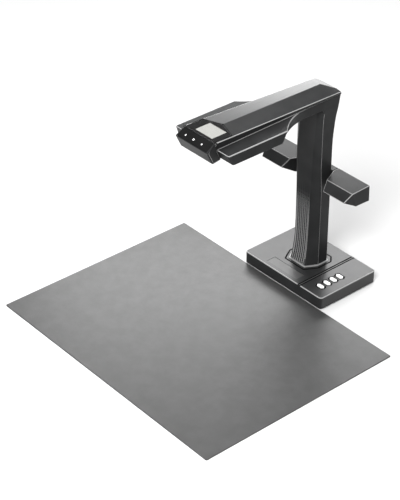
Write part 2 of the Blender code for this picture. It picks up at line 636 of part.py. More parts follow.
def make_upper_shell():
    floor = WING_TOP + GAP
    # depth, half width of the crest and its drop below the head's top, in millimetres
    stations = ((104.5, 22, 8.4), (85.5, 0.4, 2), (40, 0.4, 1.6), (-50, 0.4, 0.7),
                (-134, 0.4, 0), (-182, 0.4, 0))
    sections = [shell_section(d * MM, arm_half(d * MM), eave(d * MM), crest * MM, HEAD_TOP - drop * MM, floor)
                for d, crest, drop in stations]
    shell = place("arm_upper_shell", loft(sections), PLASTIC_DARK, 0.38)
    hollow_stations = ((102, 18, 8.4), (84, 0.7, 2.2), (-50, 0.7, 0.8), (-132, 0.7, 0.1))
    hollow = [shell_section(d * MM, arm_half(d * MM) - WALL, eave(d * MM) - WALL, crest * MM,
                            HEAD_TOP - drop * MM - WALL * 1.05, floor - 5 * MM)
              for d, crest, drop in hollow_stations]
    boolean(shell, loft(hollow))
    # lower roof under the screen bezel
    boolean(shell, box(at(-36 * MM, -179.5 * MM, floor - 5 * MM), at(36 * MM, -131 * MM, 374.5 * MM)))
    boolean(shell, bezel_shape(0.05, -190 * MM, BEZEL_TOP - BEZEL_THICKNESS - GAP, 390 * MM))


def make_screen():
    bezel = place("lcd_bezel", bezel_shape(0, -184.8 * MM, BEZEL_TOP - BEZEL_THICKNESS, BEZEL_TOP),
                  PLASTIC_BLACK, 0.15)
    boolean(bezel, box(at(SCREEN_X - SCREEN_HALF_X - GAP, SCREEN_DEPTH - SCREEN_HALF_Y - GAP, 370 * MM),
                       at(SCREEN_X + SCREEN_HALF_X + GAP, SCREEN_DEPTH + SCREEN_HALF_Y + GAP, 390 * MM)))
    place("lcd_screen", box(at(SCREEN_X - SCREEN_HALF_X, SCREEN_DEPTH - SCREEN_HALF_Y, BEZEL_TOP - 1.9 * MM),
                            at(SCREEN_X + SCREEN_HALF_X, SCREEN_DEPTH + SCREEN_HALF_Y, BEZEL_TOP - 0.2 * MM)),
          SCREEN_GREY, 0.2)


STRIP_BACK = (-186.2 * MM, 379.0 * MM)       # depth and height of the touch strip's upper edge
STRIP_FRONT = (-202.6 * MM, 367.9 * MM)
STRIP_HALF = 36.5 * MM
STRIP_THICKNESS = 1.2 * MM


def on_strip(x, along, out):
    """World point on the sloping strip: along from 0 at its upper edge to 1 at its lower, out of its face."""
    back, front = Vector(STRIP_BACK), Vector(STRIP_FRONT)
    slope = (front - back).normalized()
    normal = Vector((slope.y, -slope.x))
    spot = back + (front - back) * along + normal * out
    return at(x, spot.x, spot.y)


def strip_slab(half, start, end, low, high):
    ends = []
    for x in (-half, half):
        ends.append([on_strip(x, start, low), on_strip(x, end, low), on_strip(x, end, high),
                     on_strip(x, start, high)])
    return loft(ends)


ICON_SPOTS = ((-23.2 * MM, 1.3 * MM), (-3.4 * MM, 1.9 * MM), (17 * MM, 1.4 * MM))
ICON_ALONG = 0.58


def make_nose():
    rear_high, rear_low = -HEAD_REACH - GAP, -HEAD_REACH + 7.7 * MM - GAP
    side = [(rear_high, 377.4 * MM), (-184.9 * MM, 377.4 * MM), (-184.9 * MM, 379.7 * MM),
            (-185.3 * MM, 379.9 * MM), (-203.2 * MM, 368.2 * MM), (-203.4 * MM, 366.8 * MM),
            (-192.5 * MM, 344.2 * MM), (-190.5 * MM, 343.6 * MM), (rear_low - 1 * MM, 345.6 * MM),
            (rear_low, ARM_BOTTOM), (rear_high, WING_TOP)]
    left = [at(-41 * MM + max(0, z - 366 * MM) * 0.14, d, z) for d, z in side]
    right = [at(41 * MM - max(0, z - 366 * MM) * 0.14, d, z) for d, z in side]
    nose = place("nose_cover", loft([left, right]), PLASTIC_DARK, 0.35)
    boolean(nose, strip_slab(STRIP_HALF + GAP, -0.015, 1.0, -STRIP_THICKNESS - GAP, 3 * MM))
    hollow = [(-178 * MM, 350 * MM), (-189 * MM, 348 * MM), (-198 * MM, 366.5 * MM), (-184 * MM, 374 * MM),
              (-178 * MM, 374 * MM)]
    boolean(nose, extruded([(BASE_FRONT + d, z) for d, z in hollow], ARM_X - 37 * MM, ARM_X + 37 * MM, "YZ"))

    strip = place("touch_strip", strip_slab(STRIP_HALF, 0.0, 0.97, -STRIP_THICKNESS, -0.1 * MM),
                  PLASTIC_BLACK, 0.12)
    for number, (x, radius) in enumerate(ICON_SPOTS, 1):
        below, above = on_strip(x, ICON_ALONG, -2 * MM), on_strip(x, ICON_ALONG, 2 * MM)
        boolean(strip, rod(below, above, radius + GAP, 12))
        foot, face = on_strip(x, ICON_ALONG, -STRIP_THICKNESS + 0.1 * MM), on_strip(x, ICON_ALONG, 0)
        icon = rod(foot, face, radius, 12)
        place(f"touch_icon_{number}", icon, WHITE, 0.3)


def make_camera():
    barrel = turned(((0, 345.5), (7, 345.5), (7, 343.2), (17, 342.2), (17, 352.5), (11, 352.8), (11, 359.5),
                     (0, 359.5)), at(0, CAMERA_DEPTH, 0), 32)
    place("camera_barrel", barrel, PLASTIC_BLACK, 0.35)
    place("camera_lens", turned(((0, 343.6), (4, 343.9), (6.6, 344.6), (6.6, 345.2), (0, 345.2)),
                                at(0, CAMERA_DEPTH, 0), 24), GLASS, 0.05)
    board = place("head_board", box(at(-20 * MM, CAMERA_DEPTH - 20 * MM, 359.8 * MM),
                                    at(20 * MM, CAMERA_DEPTH + 20 * MM, 361.4 * MM)), BOARD_GREEN, 0.5)
    boolean(board, box(at(-LED_X - 5 * MM, CAMERA_DEPTH - 12 * MM, 359.8 * MM),
                       at(LED_X + 5 * MM, CAMERA_DEPTH + 18 * MM, 361.4 * MM)), "UNION")
    laser = place("laser_housing", box(at(-LASER_HALF, LASER_FRONT, ARM_BOTTOM + 0.2 * MM),
                                       at(LASER_HALF, LASER_BACK, 362 * MM)), PLASTIC_BLACK, 0.4)
    boolean(laser, box(at(-6 * MM, 39 * MM, 340 * MM), at(6 * MM, 45 * MM, 352 * MM)))
    place("laser_window", box(at(-5.7 * MM, 39.3 * MM, ARM_BOTTOM + 0.6 * MM),
                              at(5.7 * MM, 44.7 * MM, ARM_BOTTOM + 2 * MM)), GLASS, 0.05)
    for x, word in ((-LED_X, "left"), (LED_X, "right")):
        place(f"led_diffuser_{word}", box(at(x - LED_HALF, LED_FRONT, ARM_BOTTOM + 0.1 * MM),
                                          at(x + LED_HALF, LED_BACK, ARM_BOTTOM + 2.6 * MM)), WHITE, 0.5)


def make_arm_frame():
    """Sheet channel that carries the head, bolted to the spine's upper flange."""
    low = ARM_BOTTOM + 5 * MM + GAP
    wall, height = 1.5 * MM, 9 * MM
    half = 26 * MM
    outline = [(-half, 0), (half, 0), (half, height), (half - wall, height), (half - wall, wall),
               (-half + wall, wall), (-half + wall, height), (-half, height)]
    channel = extruded([(ARM_X + x, low + z) for x, z in outline],
                       BASE_FRONT - 118 * MM, BASE_FRONT + 96 * MM, "XZ")
    frame = place("arm_frame", channel, STEEL, 0.4, 1.0)
    boolean(frame, box(at(-12 * MM, SPINE_DEPTH - 5 * MM, 340 * MM),
                       at(12 * MM, SPINE_DEPTH + 5 * MM, 357 * MM)))
    boolean(frame, box(at(-9 * MM, 36 * MM, 340 * MM), at(9 * MM, 48 * MM, 357 * MM)))
    for x in BOLT_X:
        boolean(frame, rod(at(x, SPINE_DEPTH, 340 * MM), at(x, SPINE_DEPTH, 360 * MM), BOLT_BORE, 12))


def make_harness():
    """Bundle of leads from the main board through the spine and along the arm to the camera board."""
    route = [(0, 74, 17), (0, 74, 60), (0, 74, 200), (0, 74, 345), (0, 73, 354), (-3, 68, 361),
             (-8, 60, 364.5), (-14, 50, 365.5), (-16, 30, 365.5), (-16, 0, 365.5),
             (-14, -60, 365.5), (-10, -110, 365.5)]
    curve = bpy.data.curves.new("cable_harness", "CURVE")
    curve.dimensions = "3D"
    curve.bevel_depth = 2 * MM
    curve.bevel_resolution = 2
    curve.use_fill_caps = True
    spline = curve.splines.new("POLY")
    spline.points.add(len(route) - 1)
    for point, (x, d, z) in zip(spline.points, route):
        point.co = (*at(x * MM, d * MM, z * MM), 1)
    obj = bpy.data.objects.new("cable_harness", curve)
    curve.materials.append(material("cable_harness", CABLE, 0.6))
    PARTS.objects.link(obj)


# ------------------------------------------------------------------ side lights

LIGHT_PROFILE = ((64.8, 216.2), (106.7, 217.6), (107.5, 186.3), (75.2, 187.3), (50, 201))
LIGHT_DRAW = 6 * MM                  # how far the outer end leans in from the top's front edge to the lip
LIGHT_SHOULDER = 46.9 * MM           # inner end of the top's front edge
LIGHT_SHOULDER_BACK = 94 * MM        # depth where the cut beside the column reaches the inner end


def light_shape(side):
    """Prism along X with its outer end leaning in to the lip and its inner corner cut clear of the column."""
    outline = [(BASE_FRONT + d * MM, z * MM) for d, z in LIGHT_PROFILE]
    x0, x1 = sorted((ARM_X + side * LIGHT_INNER, ARM_X + side * LIGHT_OUTER))
    mesh = extruded(outline, x0, x1, "YZ")
    top, low, lip = (Vector((0, d * MM, z * MM)) for d, z in
                     (LIGHT_PROFILE[0], LIGHT_PROFILE[3], LIGHT_PROFILE[4]))
    outward = (low - top).cross(lip - top - Vector((LIGHT_DRAW, 0, 0))).normalized()
    if outward.x < 0:
        outward = -outward
    mesh = slice_off(mesh, at(side * LIGHT_OUTER, top.y, top.z), (outward.x * side, outward.y, outward.z))
    inward = Vector((top.y - LIGHT_SHOULDER_BACK, LIGHT_INNER - LIGHT_SHOULDER, 0)).normalized()
    return slice_off(mesh, at(side * LIGHT_SHOULDER, top.y, 0), (inward.x * side, inward.y, 0))


def make_side_light(side, word):
    pivot = at(side * LIGHT_INNER, LIGHT_AXIS_DEPTH, LIGHT_AXIS_Z)
    housing = place(f"light_{word}_housing", light_shape(side), PLASTIC_DARK, 0.4, 0.0, pivot)
    bevel(housing, 0.8 * MM)
    hollow = ((66.4, 213.8), (92, 214.6), (92, 189.3), (76.5, 189.8), (69, 180), (45, 193), (53.2, 201.4))
    x0, x1 = sorted((ARM_X + side * 54 * MM, ARM_X + side * 102 * MM))
    boolean(housing, extruded([(BASE_FRONT + d * MM, z * MM) for d, z in hollow], x0, x1, "YZ"))
    boolean(housing, rod(at(side * 25 * MM, LIGHT_AXIS_DEPTH, LIGHT_AXIS_Z),
                         at(side * (PIN_REACH + GAP), LIGHT_AXIS_DEPTH, LIGHT_AXIS_Z), PIN_RADIUS + GAP, 20))

    def slab(offset_low, offset_high, start, half_start, half_end):
        """Plate parallel to the light's lower front opening."""
        low, lip, end = Vector((75.6, 187.7)), Vector((51.6, 200.9)), 26.0
        slope = (low - lip).normalized()
        normal = Vector((-slope.y, slope.x))
        corners = []
        for x in sorted((side * half_start, side * half_end)):
            corners.append([at(x, *((lip + slope * t + normal * n) * MM)) for t, n in (
                (start, offset_low), (end, offset_low), (end, offset_high), (start, offset_high))])
        return loft(corners)

    place(f"light_{word}_diffuser", slab(0.3, 1.8, 1.6, 54.4 * MM, 101.6 * MM), WHITE, 0.5, 0.0, pivot)
    place(f"light_{word}_board", slab(5.5, 7.1, 5.0, 56 * MM, 100 * MM), BOARD_GREEN, 0.5, 0.0, pivot)


def make_lights():
    bracket = box(at(-BRACKET_HALF, 92 * MM + GAP, 187 * MM), at(BRACKET_HALF, 106.7 * MM, 217.3 * MM))
    bracket = place("light_bracket", bracket, PLASTIC_DARK, 0.4)
    bevel(bracket, 1 * MM)
    boolean(bracket, box(at(-TONGUE_HALF_X, 85 * MM, LIGHT_AXIS_Z - TONGUE_HALF_Z),
                         at(TONGUE_HALF_X, 98 * MM, LIGHT_AXIS_Z + TONGUE_HALF_Z)), "UNION")
    reach = Vector((PIN_REACH, 0, 0))
    middle = at(0, LIGHT_AXIS_DEPTH, LIGHT_AXIS_Z)
    boolean(bracket, rod(middle - reach, middle + reach, PIN_RADIUS + GAP, 20))
    place("light_hinge_pin", rod(middle - reach, middle + reach, PIN_RADIUS, 20), STEEL, 0.3, 1.0)
    for side, word in ((-1, "left"), (1, "right")):
        make_side_light(side, word)


def make_mat():
    corner = 3 * MM
    outline = rounded(-MAT_WIDTH / 2, MAT_WIDTH / 2, MAT_FRONT, MAT_FRONT + MAT_DEPTH, corner)
    place("work_mat", extruded(outline, 0, MAT_THICKNESS), MAT_COLOUR, 0.7)


make_base()
make_keys()
make_sockets()
make_power_switch()
make_column()
make_lower_housing()
make_upper_shell()
make_screen()
make_nose()
make_camera()
make_arm_frame()
make_harness()
make_lights()
make_mat()
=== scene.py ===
"""Looks of the overhead book scanner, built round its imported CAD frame.

Units are metres, +Z is up and the scanner faces -Y. Pieces take their places from the CAD nodes' boxes.
"""
import json
import math

import bmesh
import bpy
from mathutils import Matrix, Vector


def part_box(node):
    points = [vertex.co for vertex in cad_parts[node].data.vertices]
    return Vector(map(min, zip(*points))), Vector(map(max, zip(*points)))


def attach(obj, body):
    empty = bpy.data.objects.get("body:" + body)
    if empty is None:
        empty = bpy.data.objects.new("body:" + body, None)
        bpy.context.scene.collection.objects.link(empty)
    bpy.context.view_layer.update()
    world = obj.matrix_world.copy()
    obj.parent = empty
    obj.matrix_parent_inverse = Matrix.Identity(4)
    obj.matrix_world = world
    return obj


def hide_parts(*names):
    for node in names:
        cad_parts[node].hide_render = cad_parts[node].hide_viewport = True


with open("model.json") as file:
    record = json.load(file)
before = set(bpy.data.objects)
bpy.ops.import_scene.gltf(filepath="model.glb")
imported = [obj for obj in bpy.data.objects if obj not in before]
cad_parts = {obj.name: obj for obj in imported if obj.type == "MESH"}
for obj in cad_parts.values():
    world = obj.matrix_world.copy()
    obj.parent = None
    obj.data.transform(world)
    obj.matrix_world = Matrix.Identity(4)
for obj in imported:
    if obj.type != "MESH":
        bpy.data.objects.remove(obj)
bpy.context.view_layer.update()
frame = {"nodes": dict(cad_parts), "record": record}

MM = 0.001
NODES = frame["nodes"]
BODY_OF = {node: body for body, nodes in frame["record"]["behaviour"]["bodies"].items() for node in nodes}
SLOT_OF = {node: obj.material_slots[0].material.name.split(".")[0] for node, obj in NODES.items()}

# ------------------------------------------------------------------ camera, floor and light

CAMERA_SPOT = Vector((1.7862, -1.57615, 1.7380))
CAMERA_AZIMUTH = math.radians(49.59)
CAMERA_ELEVATION = math.radians(33.88)
CAMERA_LENS = 120.606
FLOOR_HALF = 6.0
ROOM_LIGHT = 0.46


def make_camera():
    data = bpy.data.cameras.new("camera")
    data.lens = CAMERA_LENS
    data.sensor_width = 36.0
    data.clip_end = 100.0
    camera = bpy.data.objects.new("camera", data)
    back = Vector((math.sin(CAMERA_AZIMUTH) * math.cos(CAMERA_ELEVATION),
                   -math.cos(CAMERA_AZIMUTH) * math.cos(CAMERA_ELEVATION),
                   math.sin(CAMERA_ELEVATION)))
    camera.location = CAMERA_SPOT
    camera.rotation_euler = back.to_track_quat("Z", "Y").to_euler()
    bpy.context.scene.collection.objects.link(camera)
    bpy.context.scene.camera = camera


def make_floor():
    bm = bmesh.new()
    bmesh.ops.create_grid(bm, x_segments=1, y_segments=1, size=FLOOR_HALF)
    mesh = bpy.data.meshes.new("floor")
    bm.to_mesh(mesh)
    bm.free()
    floor = bpy.data.objects.new("floor", mesh)
    floor.location.z = -0.2 * MM
    bpy.context.scene.collection.objects.link(floor)
    floor.data.materials.append(floor_material())


def floor_material():
    """White studio sweep with a very faint tone of its own."""
    made, nodes, links, shader = new_material("studio_floor")
    shader.inputs["Roughness"].default_value = 0.9
    shader.inputs["Specular IOR Level"].default_value = 0.1
    colour_noise(nodes, links, shader, (0.55, 0.55, 0.55), (0.56, 0.56, 0.56), 2.0)
    return made


TARGET = Vector((0, 0.12, 0.15))

# azimuth (clockwise from +Y) and elevation in degrees, distance and size in metres, brightness,
# and whether it shows in reflections ("gloss") or only lights the surfaces ("matt")
SOFTBOXES = (
    ("key_overhead", -50, 66, 2.6, (1.8, 1.8), 6.4, "matt"),
    ("fill_front", 155, 40, 3.0, (1.5, 1.5), 25.0, "matt"),
    ("panel_back_near", -50, 25, 0.78, (1.1, 0.29), 9.6, "gloss"),
    ("sweep_right", 50, 60, 2.5, (1.2, 1.2), 3.6, "gloss"),
    ("sweep_front_left", -130, 20, 4.0, (0.5, 0.5), 1.6, "gloss"),
)


def make_softbox(name, azimuth, elevation, distance, size, brightness, lights):
    """Rectangular lamp aimed at the object; brightness is its radiance."""
    azimuth, elevation = math.radians(azimuth), math.radians(elevation)
    away = Vector((math.sin(azimuth) * math.cos(elevation), math.cos(azimuth) * math.cos(elevation),
                   math.sin(elevation)))
    data = bpy.data.lights.new(name, "AREA")
    data.shape = "RECTANGLE"
    data.size, data.size_y = size
    data.energy = brightness * math.pi * size[0] * size[1]
    lamp = bpy.data.objects.new(name, data)
    lamp.location = TARGET + away * distance
    lamp.rotation_euler = away.to_track_quat("Z", "Y").to_euler()
    lamp.visible_camera = False
    lamp.visible_glossy = lights == "gloss"
    lamp.visible_diffuse = lights == "matt"
    bpy.context.scene.collection.objects.link(lamp)


def make_world():
    """Even, dim light from a pale room."""
    world = bpy.data.worlds.new("studio")
    bpy.context.scene.world = world
    world.use_nodes = True
    room = world.node_tree.nodes["Background"]
    room.inputs["Color"].default_value = (1, 1, 1, 1)
    room.inputs["Strength"].default_value = ROOM_LIGHT


# ------------------------------------------------------------------ materials

def new_material(name):
    made = bpy.data.materials.new(name)
    made.use_nodes = True
    tree = made.node_tree
    return made, tree.nodes, tree.links, tree.nodes["Principled BSDF"]


def noise(nodes, links, scale, detail=2.0, stretch=None):
    """Noise over the object's own coordinates, in features a metre divided by scale across."""
    place = nodes.new("ShaderNodeTexCoord")
    texture = nodes.new("ShaderNodeTexNoise")
    texture.inputs["Scale"].default_value = scale
    texture.inputs["Detail"].default_value = detail
    if stretch is None:
        links.new(place.outputs["Object"], texture.inputs["Vector"])
    else:
        mapping = nodes.new("ShaderNodeMapping")
        mapping.inputs["Scale"].default_value = stretch
        links.new(place.outputs["Object"], mapping.inputs["Vector"])
        links.new(mapping.outputs["Vector"], texture.inputs["Vector"])
    return texture.outputs["Fac"]


def spread(nodes, links, value, low, high):
    """A value's middle range mapped on to low..high."""
    node = nodes.new("ShaderNodeMapRange")
    node.inputs["From Min"].default_value = 0.3
    node.inputs["From Max"].default_value = 0.7
    node.inputs["To Min"].default_value = low
    node.inputs["To Max"].default_value = high
    links.new(value, node.inputs["Value"])
    return node.outputs["Result"]


def colour_noise(nodes, links, shader, dark, light, scale):
    """Base colour that drifts between two tones."""
    ramp = nodes.new("ShaderNodeValToRGB")
    ramp.color_ramp.elements[0].position = 0.35
    ramp.color_ramp.elements[0].color = (*dark, 1)
    ramp.color_ramp.elements[1].position = 0.65
    ramp.color_ramp.elements[1].color = (*light, 1)
    links.new(noise(nodes, links, scale, 3.0), ramp.inputs["Fac"])
    links.new(ramp.outputs["Color"], shader.inputs["Base Color"])


def add_bump(nodes, links, shader, height, distance, strength=1.0):
    bump = nodes.new("ShaderNodeBump")
    bump.inputs["Strength"].default_value = strength
    bump.inputs["Distance"].default_value = distance
    links.new(height, bump.inputs["Height"])
    links.new(bump.outputs["Normal"], shader.inputs["Normal"])


def moulded(name, dark, light, roughness, grain_scale, grain_height, coat=0.0, specular=0.5, metallic=0.0,
            edge=None, brush=None):
    """Plastic or paint: a fine grain in the surface, and a faint drift of colour and gloss.

    edge is a lighter tone painted on the marked rounded edges as a highlight, which also get more gloss;
    brush gives the scale of the gloss along each axis where the surface is brushed one way.
    """
    made, nodes, links, shader = new_material(name)
    shader.inputs["Specular IOR Level"].default_value = specular
    shader.inputs["Metallic"].default_value = metallic
    shader.inputs["Coat Weight"].default_value = coat
    shader.inputs["Coat Roughness"].default_value = 0.15
    colour_noise(nodes, links, shader, dark, light, 38.0)
    pattern = noise(nodes, links, 160.0, 4.0) if brush is None else noise(nodes, links, 1.0, 4.0, brush)
    gloss = spread(nodes, links, pattern, roughness - 0.03, roughness + 0.03)
    links.new(gloss, shader.inputs["Roughness"])
    add_bump(nodes, links, shader, noise(nodes, links, grain_scale, 1.0), grain_height)
    # marked rounded edges get more gloss and a lighter tone painted on as a highlight
    if edge is not None:
        edge_gloss_and_painted_highlight(nodes, links, shader, edge, specular)
    return made


def edge_gloss_and_painted_highlight(nodes, links, shader, tone, specular):
    """Glossier finish, and a lighter tone painted on as a highlight, where the mesh marks a rounded edge."""
    mark = nodes.new("ShaderNodeAttribute")
    mark.attribute_name = "edge"
    mix = nodes.new("ShaderNodeMix")
    mix.data_type = "RGBA"
    colour_a, colour_b = [socket for socket in mix.inputs if socket.type == "RGBA"]
    links.new(shader.inputs["Base Color"].links[0].from_socket, colour_a)
    colour_b.default_value = (*tone, 1)
    links.new(mark.outputs["Fac"], mix.inputs["Factor"])
    links.new([socket for socket in mix.outputs if socket.type == "RGBA"][0], shader.inputs["Base Color"])
    shine = nodes.new("ShaderNodeMapRange")
    shine.inputs["To Min"].default_value = specular
    shine.inputs["To Max"].default_value = 0.7
    links.new(mark.outputs["Fac"], shine.inputs["Value"])
    links.new(shine.outputs["Result"], shader.inputs["Specular IOR Level"])


def grey(level, tint=0.0):
    """Neutral colour, a touch cooler with tint."""
    return (level * (1 - tint), level, level * (1 + tint))


def display(name):
    """Unlit display: a grey-green film with a faint grid of dots under a satin cover."""
    made, nodes, links, shader = new_material(name)
    place = nodes.new("ShaderNodeTexCoord")
    grid = nodes.new("ShaderNodeTexBrick")
    grid.offset = 0.0
    grid.inputs["Scale"].default_value = 1.0
    grid.inputs["Brick Width"].default_value = 0.35 * MM
    grid.inputs["Row Height"].default_value = 0.35 * MM
    grid.inputs["Mortar Size"].default_value = 0.03 * MM
    grid.inputs["Color1"].default_value = (0.245, 0.245, 0.23, 1)
    grid.inputs["Color2"].default_value = (0.26, 0.26, 0.245, 1)
    grid.inputs["Mortar"].default_value = (0.20, 0.20, 0.19, 1)
    links.new(place.outputs["Object"], grid.inputs["Vector"])
    links.new(grid.outputs["Color"], shader.inputs["Base Color"])
    shader.inputs["Specular IOR Level"].default_value = 0.2
    gloss = spread(nodes, links, noise(nodes, links, 160.0, 4.0), 0.31, 0.35)
    links.new(gloss, shader.inputs["Roughness"])
    return made


def ribbed(name, dark, light, pitch, depth):
    """Milky cover with fine ribs along X, which spread the lamps' light."""
    made, nodes, links, shader = new_material(name)
    place = nodes.new("ShaderNodeTexCoord")
    ribs = nodes.new("ShaderNodeTexWave")
    ribs.bands_direction = "Y"
    ribs.inputs["Scale"].default_value = 0.314 / pitch
    ribs.inputs["Distortion"].default_value = 0.0
    links.new(place.outputs["Object"], ribs.inputs["Vector"])
    colour_noise(nodes, links, shader, dark, light, 60.0)
    gloss = spread(nodes, links, noise(nodes, links, 200.0, 3.0), 0.38, 0.46)
    links.new(gloss, shader.inputs["Roughness"])
    shader.inputs["Subsurface Weight"].default_value = 0.3
    shader.inputs["Subsurface Scale"].default_value = 1.0 * MM
    add_bump(nodes, links, shader, ribs.outputs["Fac"], depth)
    return made


def circuit(name):
    """Green lacquer over copper tracks laid out in cells."""
    made, nodes, links, shader = new_material(name)
    place = nodes.new("ShaderNodeTexCoord")
    cells = nodes.new("ShaderNodeTexVoronoi")
    cells.feature = "DISTANCE_TO_EDGE"
    cells.distance = "EUCLIDEAN"
    cells.inputs["Scale"].default_value = 300.0
    links.new(place.outputs["Object"], cells.inputs["Vector"])
    ramp = nodes.new("ShaderNodeValToRGB")
    ramp.color_ramp.elements[0].position = 0.03
    ramp.color_ramp.elements[0].color = (0.03, 0.17, 0.06, 1)
    ramp.color_ramp.elements[1].position = 0.06
    ramp.color_ramp.elements[1].color = (0.008, 0.08, 0.03, 1)
    links.new(cells.outputs["Distance"], ramp.inputs["Fac"])
    links.new(ramp.outputs["Color"], shader.inputs["Base Color"])
    gloss = spread(nodes, links, noise(nodes, links, 200.0, 3.0), 0.32, 0.42)
    links.new(gloss, shader.inputs["Roughness"])
    return made


# brushing runs along the axis with the small number
ALONG_ARM = (700, 14, 700)
ACROSS = (14, 900, 900)
UPRIGHT = (900, 900, 14)

MATERIALS = {
    # edge=grey(0.22) on the shell and the base is the lighter tone painted on marked rounded edges as a
    # highlight
    "shell_graphite": lambda: moulded("graphite_shell", grey(0.014, 0.02), grey(0.018, 0.02), 0.34, 900,
                                      0.003 * MM, specular=0.10, edge=grey(0.22), brush=ALONG_ARM),
    "base_graphite": lambda: moulded("graphite_base", grey(0.014, 0.02), grey(0.018, 0.02), 0.34, 900,
                                     0.003 * MM, specular=0.31, edge=grey(0.22), brush=ACROSS),
    "gloss_black": lambda: moulded("black_gloss", grey(0.004), grey(0.006), 0.12, 900, 0.0005 * MM,
                                   specular=0.2),
    "key_white": lambda: moulded("silver_key", grey(0.66), grey(0.72), 0.30, 900, 0.002 * MM),
    "screen_grey": lambda: display("screen"),
    "lens_glass": lambda: moulded("lens", (0.01, 0.012, 0.02), (0.015, 0.018, 0.028), 0.05, 300, 0.0,
                                  coat=1.0),
    "diffuser_white": lambda: ribbed("diffuser", grey(0.74), grey(0.82), 1.5 * MM, 0.15 * MM),
    # badge_grey also colours the seam's ridge strip, whose lighter tone there is a painted highlight
    "badge_grey": lambda: moulded("badge", grey(0.04), grey(0.047), 0.34, 900, 0.002 * MM, specular=0.26),
    "collar_grey": lambda: moulded("collar", grey(0.20), grey(0.24), 0.34, 900, 0.002 * MM, specular=0.4,
                                   metallic=0.25),
    "board_green": lambda: circuit("board"),
    "steel": lambda: moulded("steel", grey(0.42), grey(0.5), 0.33, 1500, 0.004 * MM, metallic=1.0,
                             brush=UPRIGHT),
    "socket_metal": lambda: moulded("socket_metal", grey(0.5), grey(0.6), 0.33, 1500, 0.004 * MM,
                                    metallic=1.0, brush=ACROSS),
    # socket_black is also laid in the foot groove and the seam channel as painted shade
    "socket_black": lambda: moulded("socket_black", grey(0.004), grey(0.006), 0.6, 1500, 0.01 * MM,
                                    specular=0.02),
    "rubber_black": lambda: moulded("rubber", grey(0.012), grey(0.018), 0.8, 900, 0.08 * MM),
    "mat_black": lambda: moulded("mat", grey(0.026), grey(0.034), 0.42, 1500, 0.06 * MM, specular=0.5),
    "cable_black": lambda: moulded("cable", grey(0.01), grey(0.015), 0.6, 900, 0.05 * MM),
}
_made = {}


def slot_material(slot):
    if slot not in _made:
        _made[slot] = MATERIALS[slot]()
    return _made[slot]


# ------------------------------------------------------------------ mesh tools

def loft(sections):
    """Closed body over sections that have the same number of points."""
    bm = bmesh.new()
    rings = [[bm.verts.new(point) for point in section] for section in sections]
    count = len(rings[0])
    for ring, following in zip(rings, rings[1:]):
        for i in range(count):
            j = (i + 1) % count
            bm.faces.new((ring[i], ring[j], following[j], following[i]))
    bm.faces.new(rings[0][::-1])
    bm.faces.new(rings[-1])
    return finished(bm)


def finished(bm):
    """The mesh of a BMesh, with its faces turned outwards."""
    bmesh.ops.recalc_face_normals(bm, faces=bm.faces)
    mesh = bpy.data.meshes.new("shape")
    bm.to_mesh(mesh)
    bm.free()
    return mesh


def fillet(points, radius, steps=4):
    """Outline with each corner rounded; a corner's radius shrinks where a side is too short for it.

    radius is one size or a list with one for each corner.
    """
    rounded = []
    radii = radius if isinstance(radius, (list, tuple)) else [radius] * len(points)
    points = [Vector(point) for point in points]
    for i, corner in enumerate(points):
        before = points[i - 1] - corner
        after = points[(i + 1) % len(points)] - corner
        half = before.angle(after) / 2
        reach = min(radii[i] / math.tan(half), before.length * 0.49, after.length * 0.49)
        start = corner + before.normalized() * reach
        end = corner + after.normalized() * reach
        for step in range(steps + 1):
            t = step / steps
            rounded.append(start.lerp(corner, t).lerp(corner.lerp(end, t), t))
    return rounded


def inset(points, distance):
    """Anticlockwise outline moved inwards."""
    moved = []
    count = len(points)
    for i, point in enumerate(points):
        before = (point - points[i - 1]).normalized()
        after = (points[(i + 1) % count] - point).normalized()
        first, second = Vector((-before.y, before.x)), Vector((-after.y, after.x))
        miter = (first + second) / max(1 + first.dot(second), 0.4)
        moved.append(point + miter * distance)
    return moved


def rim(radius, steps=4):
    """(inset, drop) pairs over a rounded edge, from the side face to the flat face."""
    pairs = []
    for step in range(steps + 1):
        angle = math.pi / 2 * step / steps
        pairs.append((radius * (1 - math.cos(angle)), radius * (1 - math.sin(angle))))
    return pairs


def slab(outline, low, high, edge_low, edge_high, steps=4):
    """Prism over an anticlockwise outline in X and Y, with both rims rounded."""
    sections = []
    for shrink, drop in reversed(rim(edge_low, steps)):
        sections.append([(*point, low + drop) for point in inset(outline, shrink)])
    for shrink, drop in rim(edge_high, steps):
        sections.append([(*point, high - drop) for point in inset(outline, shrink)])
    return loft(sections)


def rectangle(x0, x1, y0, y1):
    return [Vector(corner) for corner in ((x0, y0), (x1, y0), (x1, y1), (x0, y1))]


def block(low, high):
    """Plain cutting box between two corners."""
    return loft([[(x, y, z) for x, y in rectangle(low[0], high[0], low[1], high[1])]
                 for z in (low[2], high[2])])


def turned(profile, foot, segments=48):
    """Solid of revolution about an upright axis; the profile is (radius, height) in millimetres."""
    rings = []
    for radius, height in profile:
        rings.append([(foot[0] + max(radius, 0.02) * MM * math.cos(2 * math.pi * i / segments),
                       foot[1] + max(radius, 0.02) * MM * math.sin(2 * math.pi * i / segments),
                       foot[2] + height * MM) for i in range(segments)])
    return loft(rings)


def moved_mesh(mesh, matrix):
    mesh.transform(matrix)
    return mesh


def carve(mesh, cutters, operation="DIFFERENCE"):
    """The mesh with cutting meshes taken away, or joined on."""
    work = bpy.data.objects.new("work", mesh)
    bpy.context.scene.collection.objects.link(work)
    tools = []
    for shape in cutters:
        tool = bpy.data.objects.new("tool", shape)
        bpy.context.scene.collection.objects.link(tool)
        tools.append(tool)
        mod = work.modifiers.new("cut", "BOOLEAN")
        mod.operation = operation
        mod.solver = "EXACT"
        mod.object = tool
    result = bpy.data.meshes.new_from_object(work.evaluated_get(bpy.context.evaluated_depsgraph_get()))
    for used in (work, *tools):
        bpy.data.objects.remove(used)
    return tidied(result)


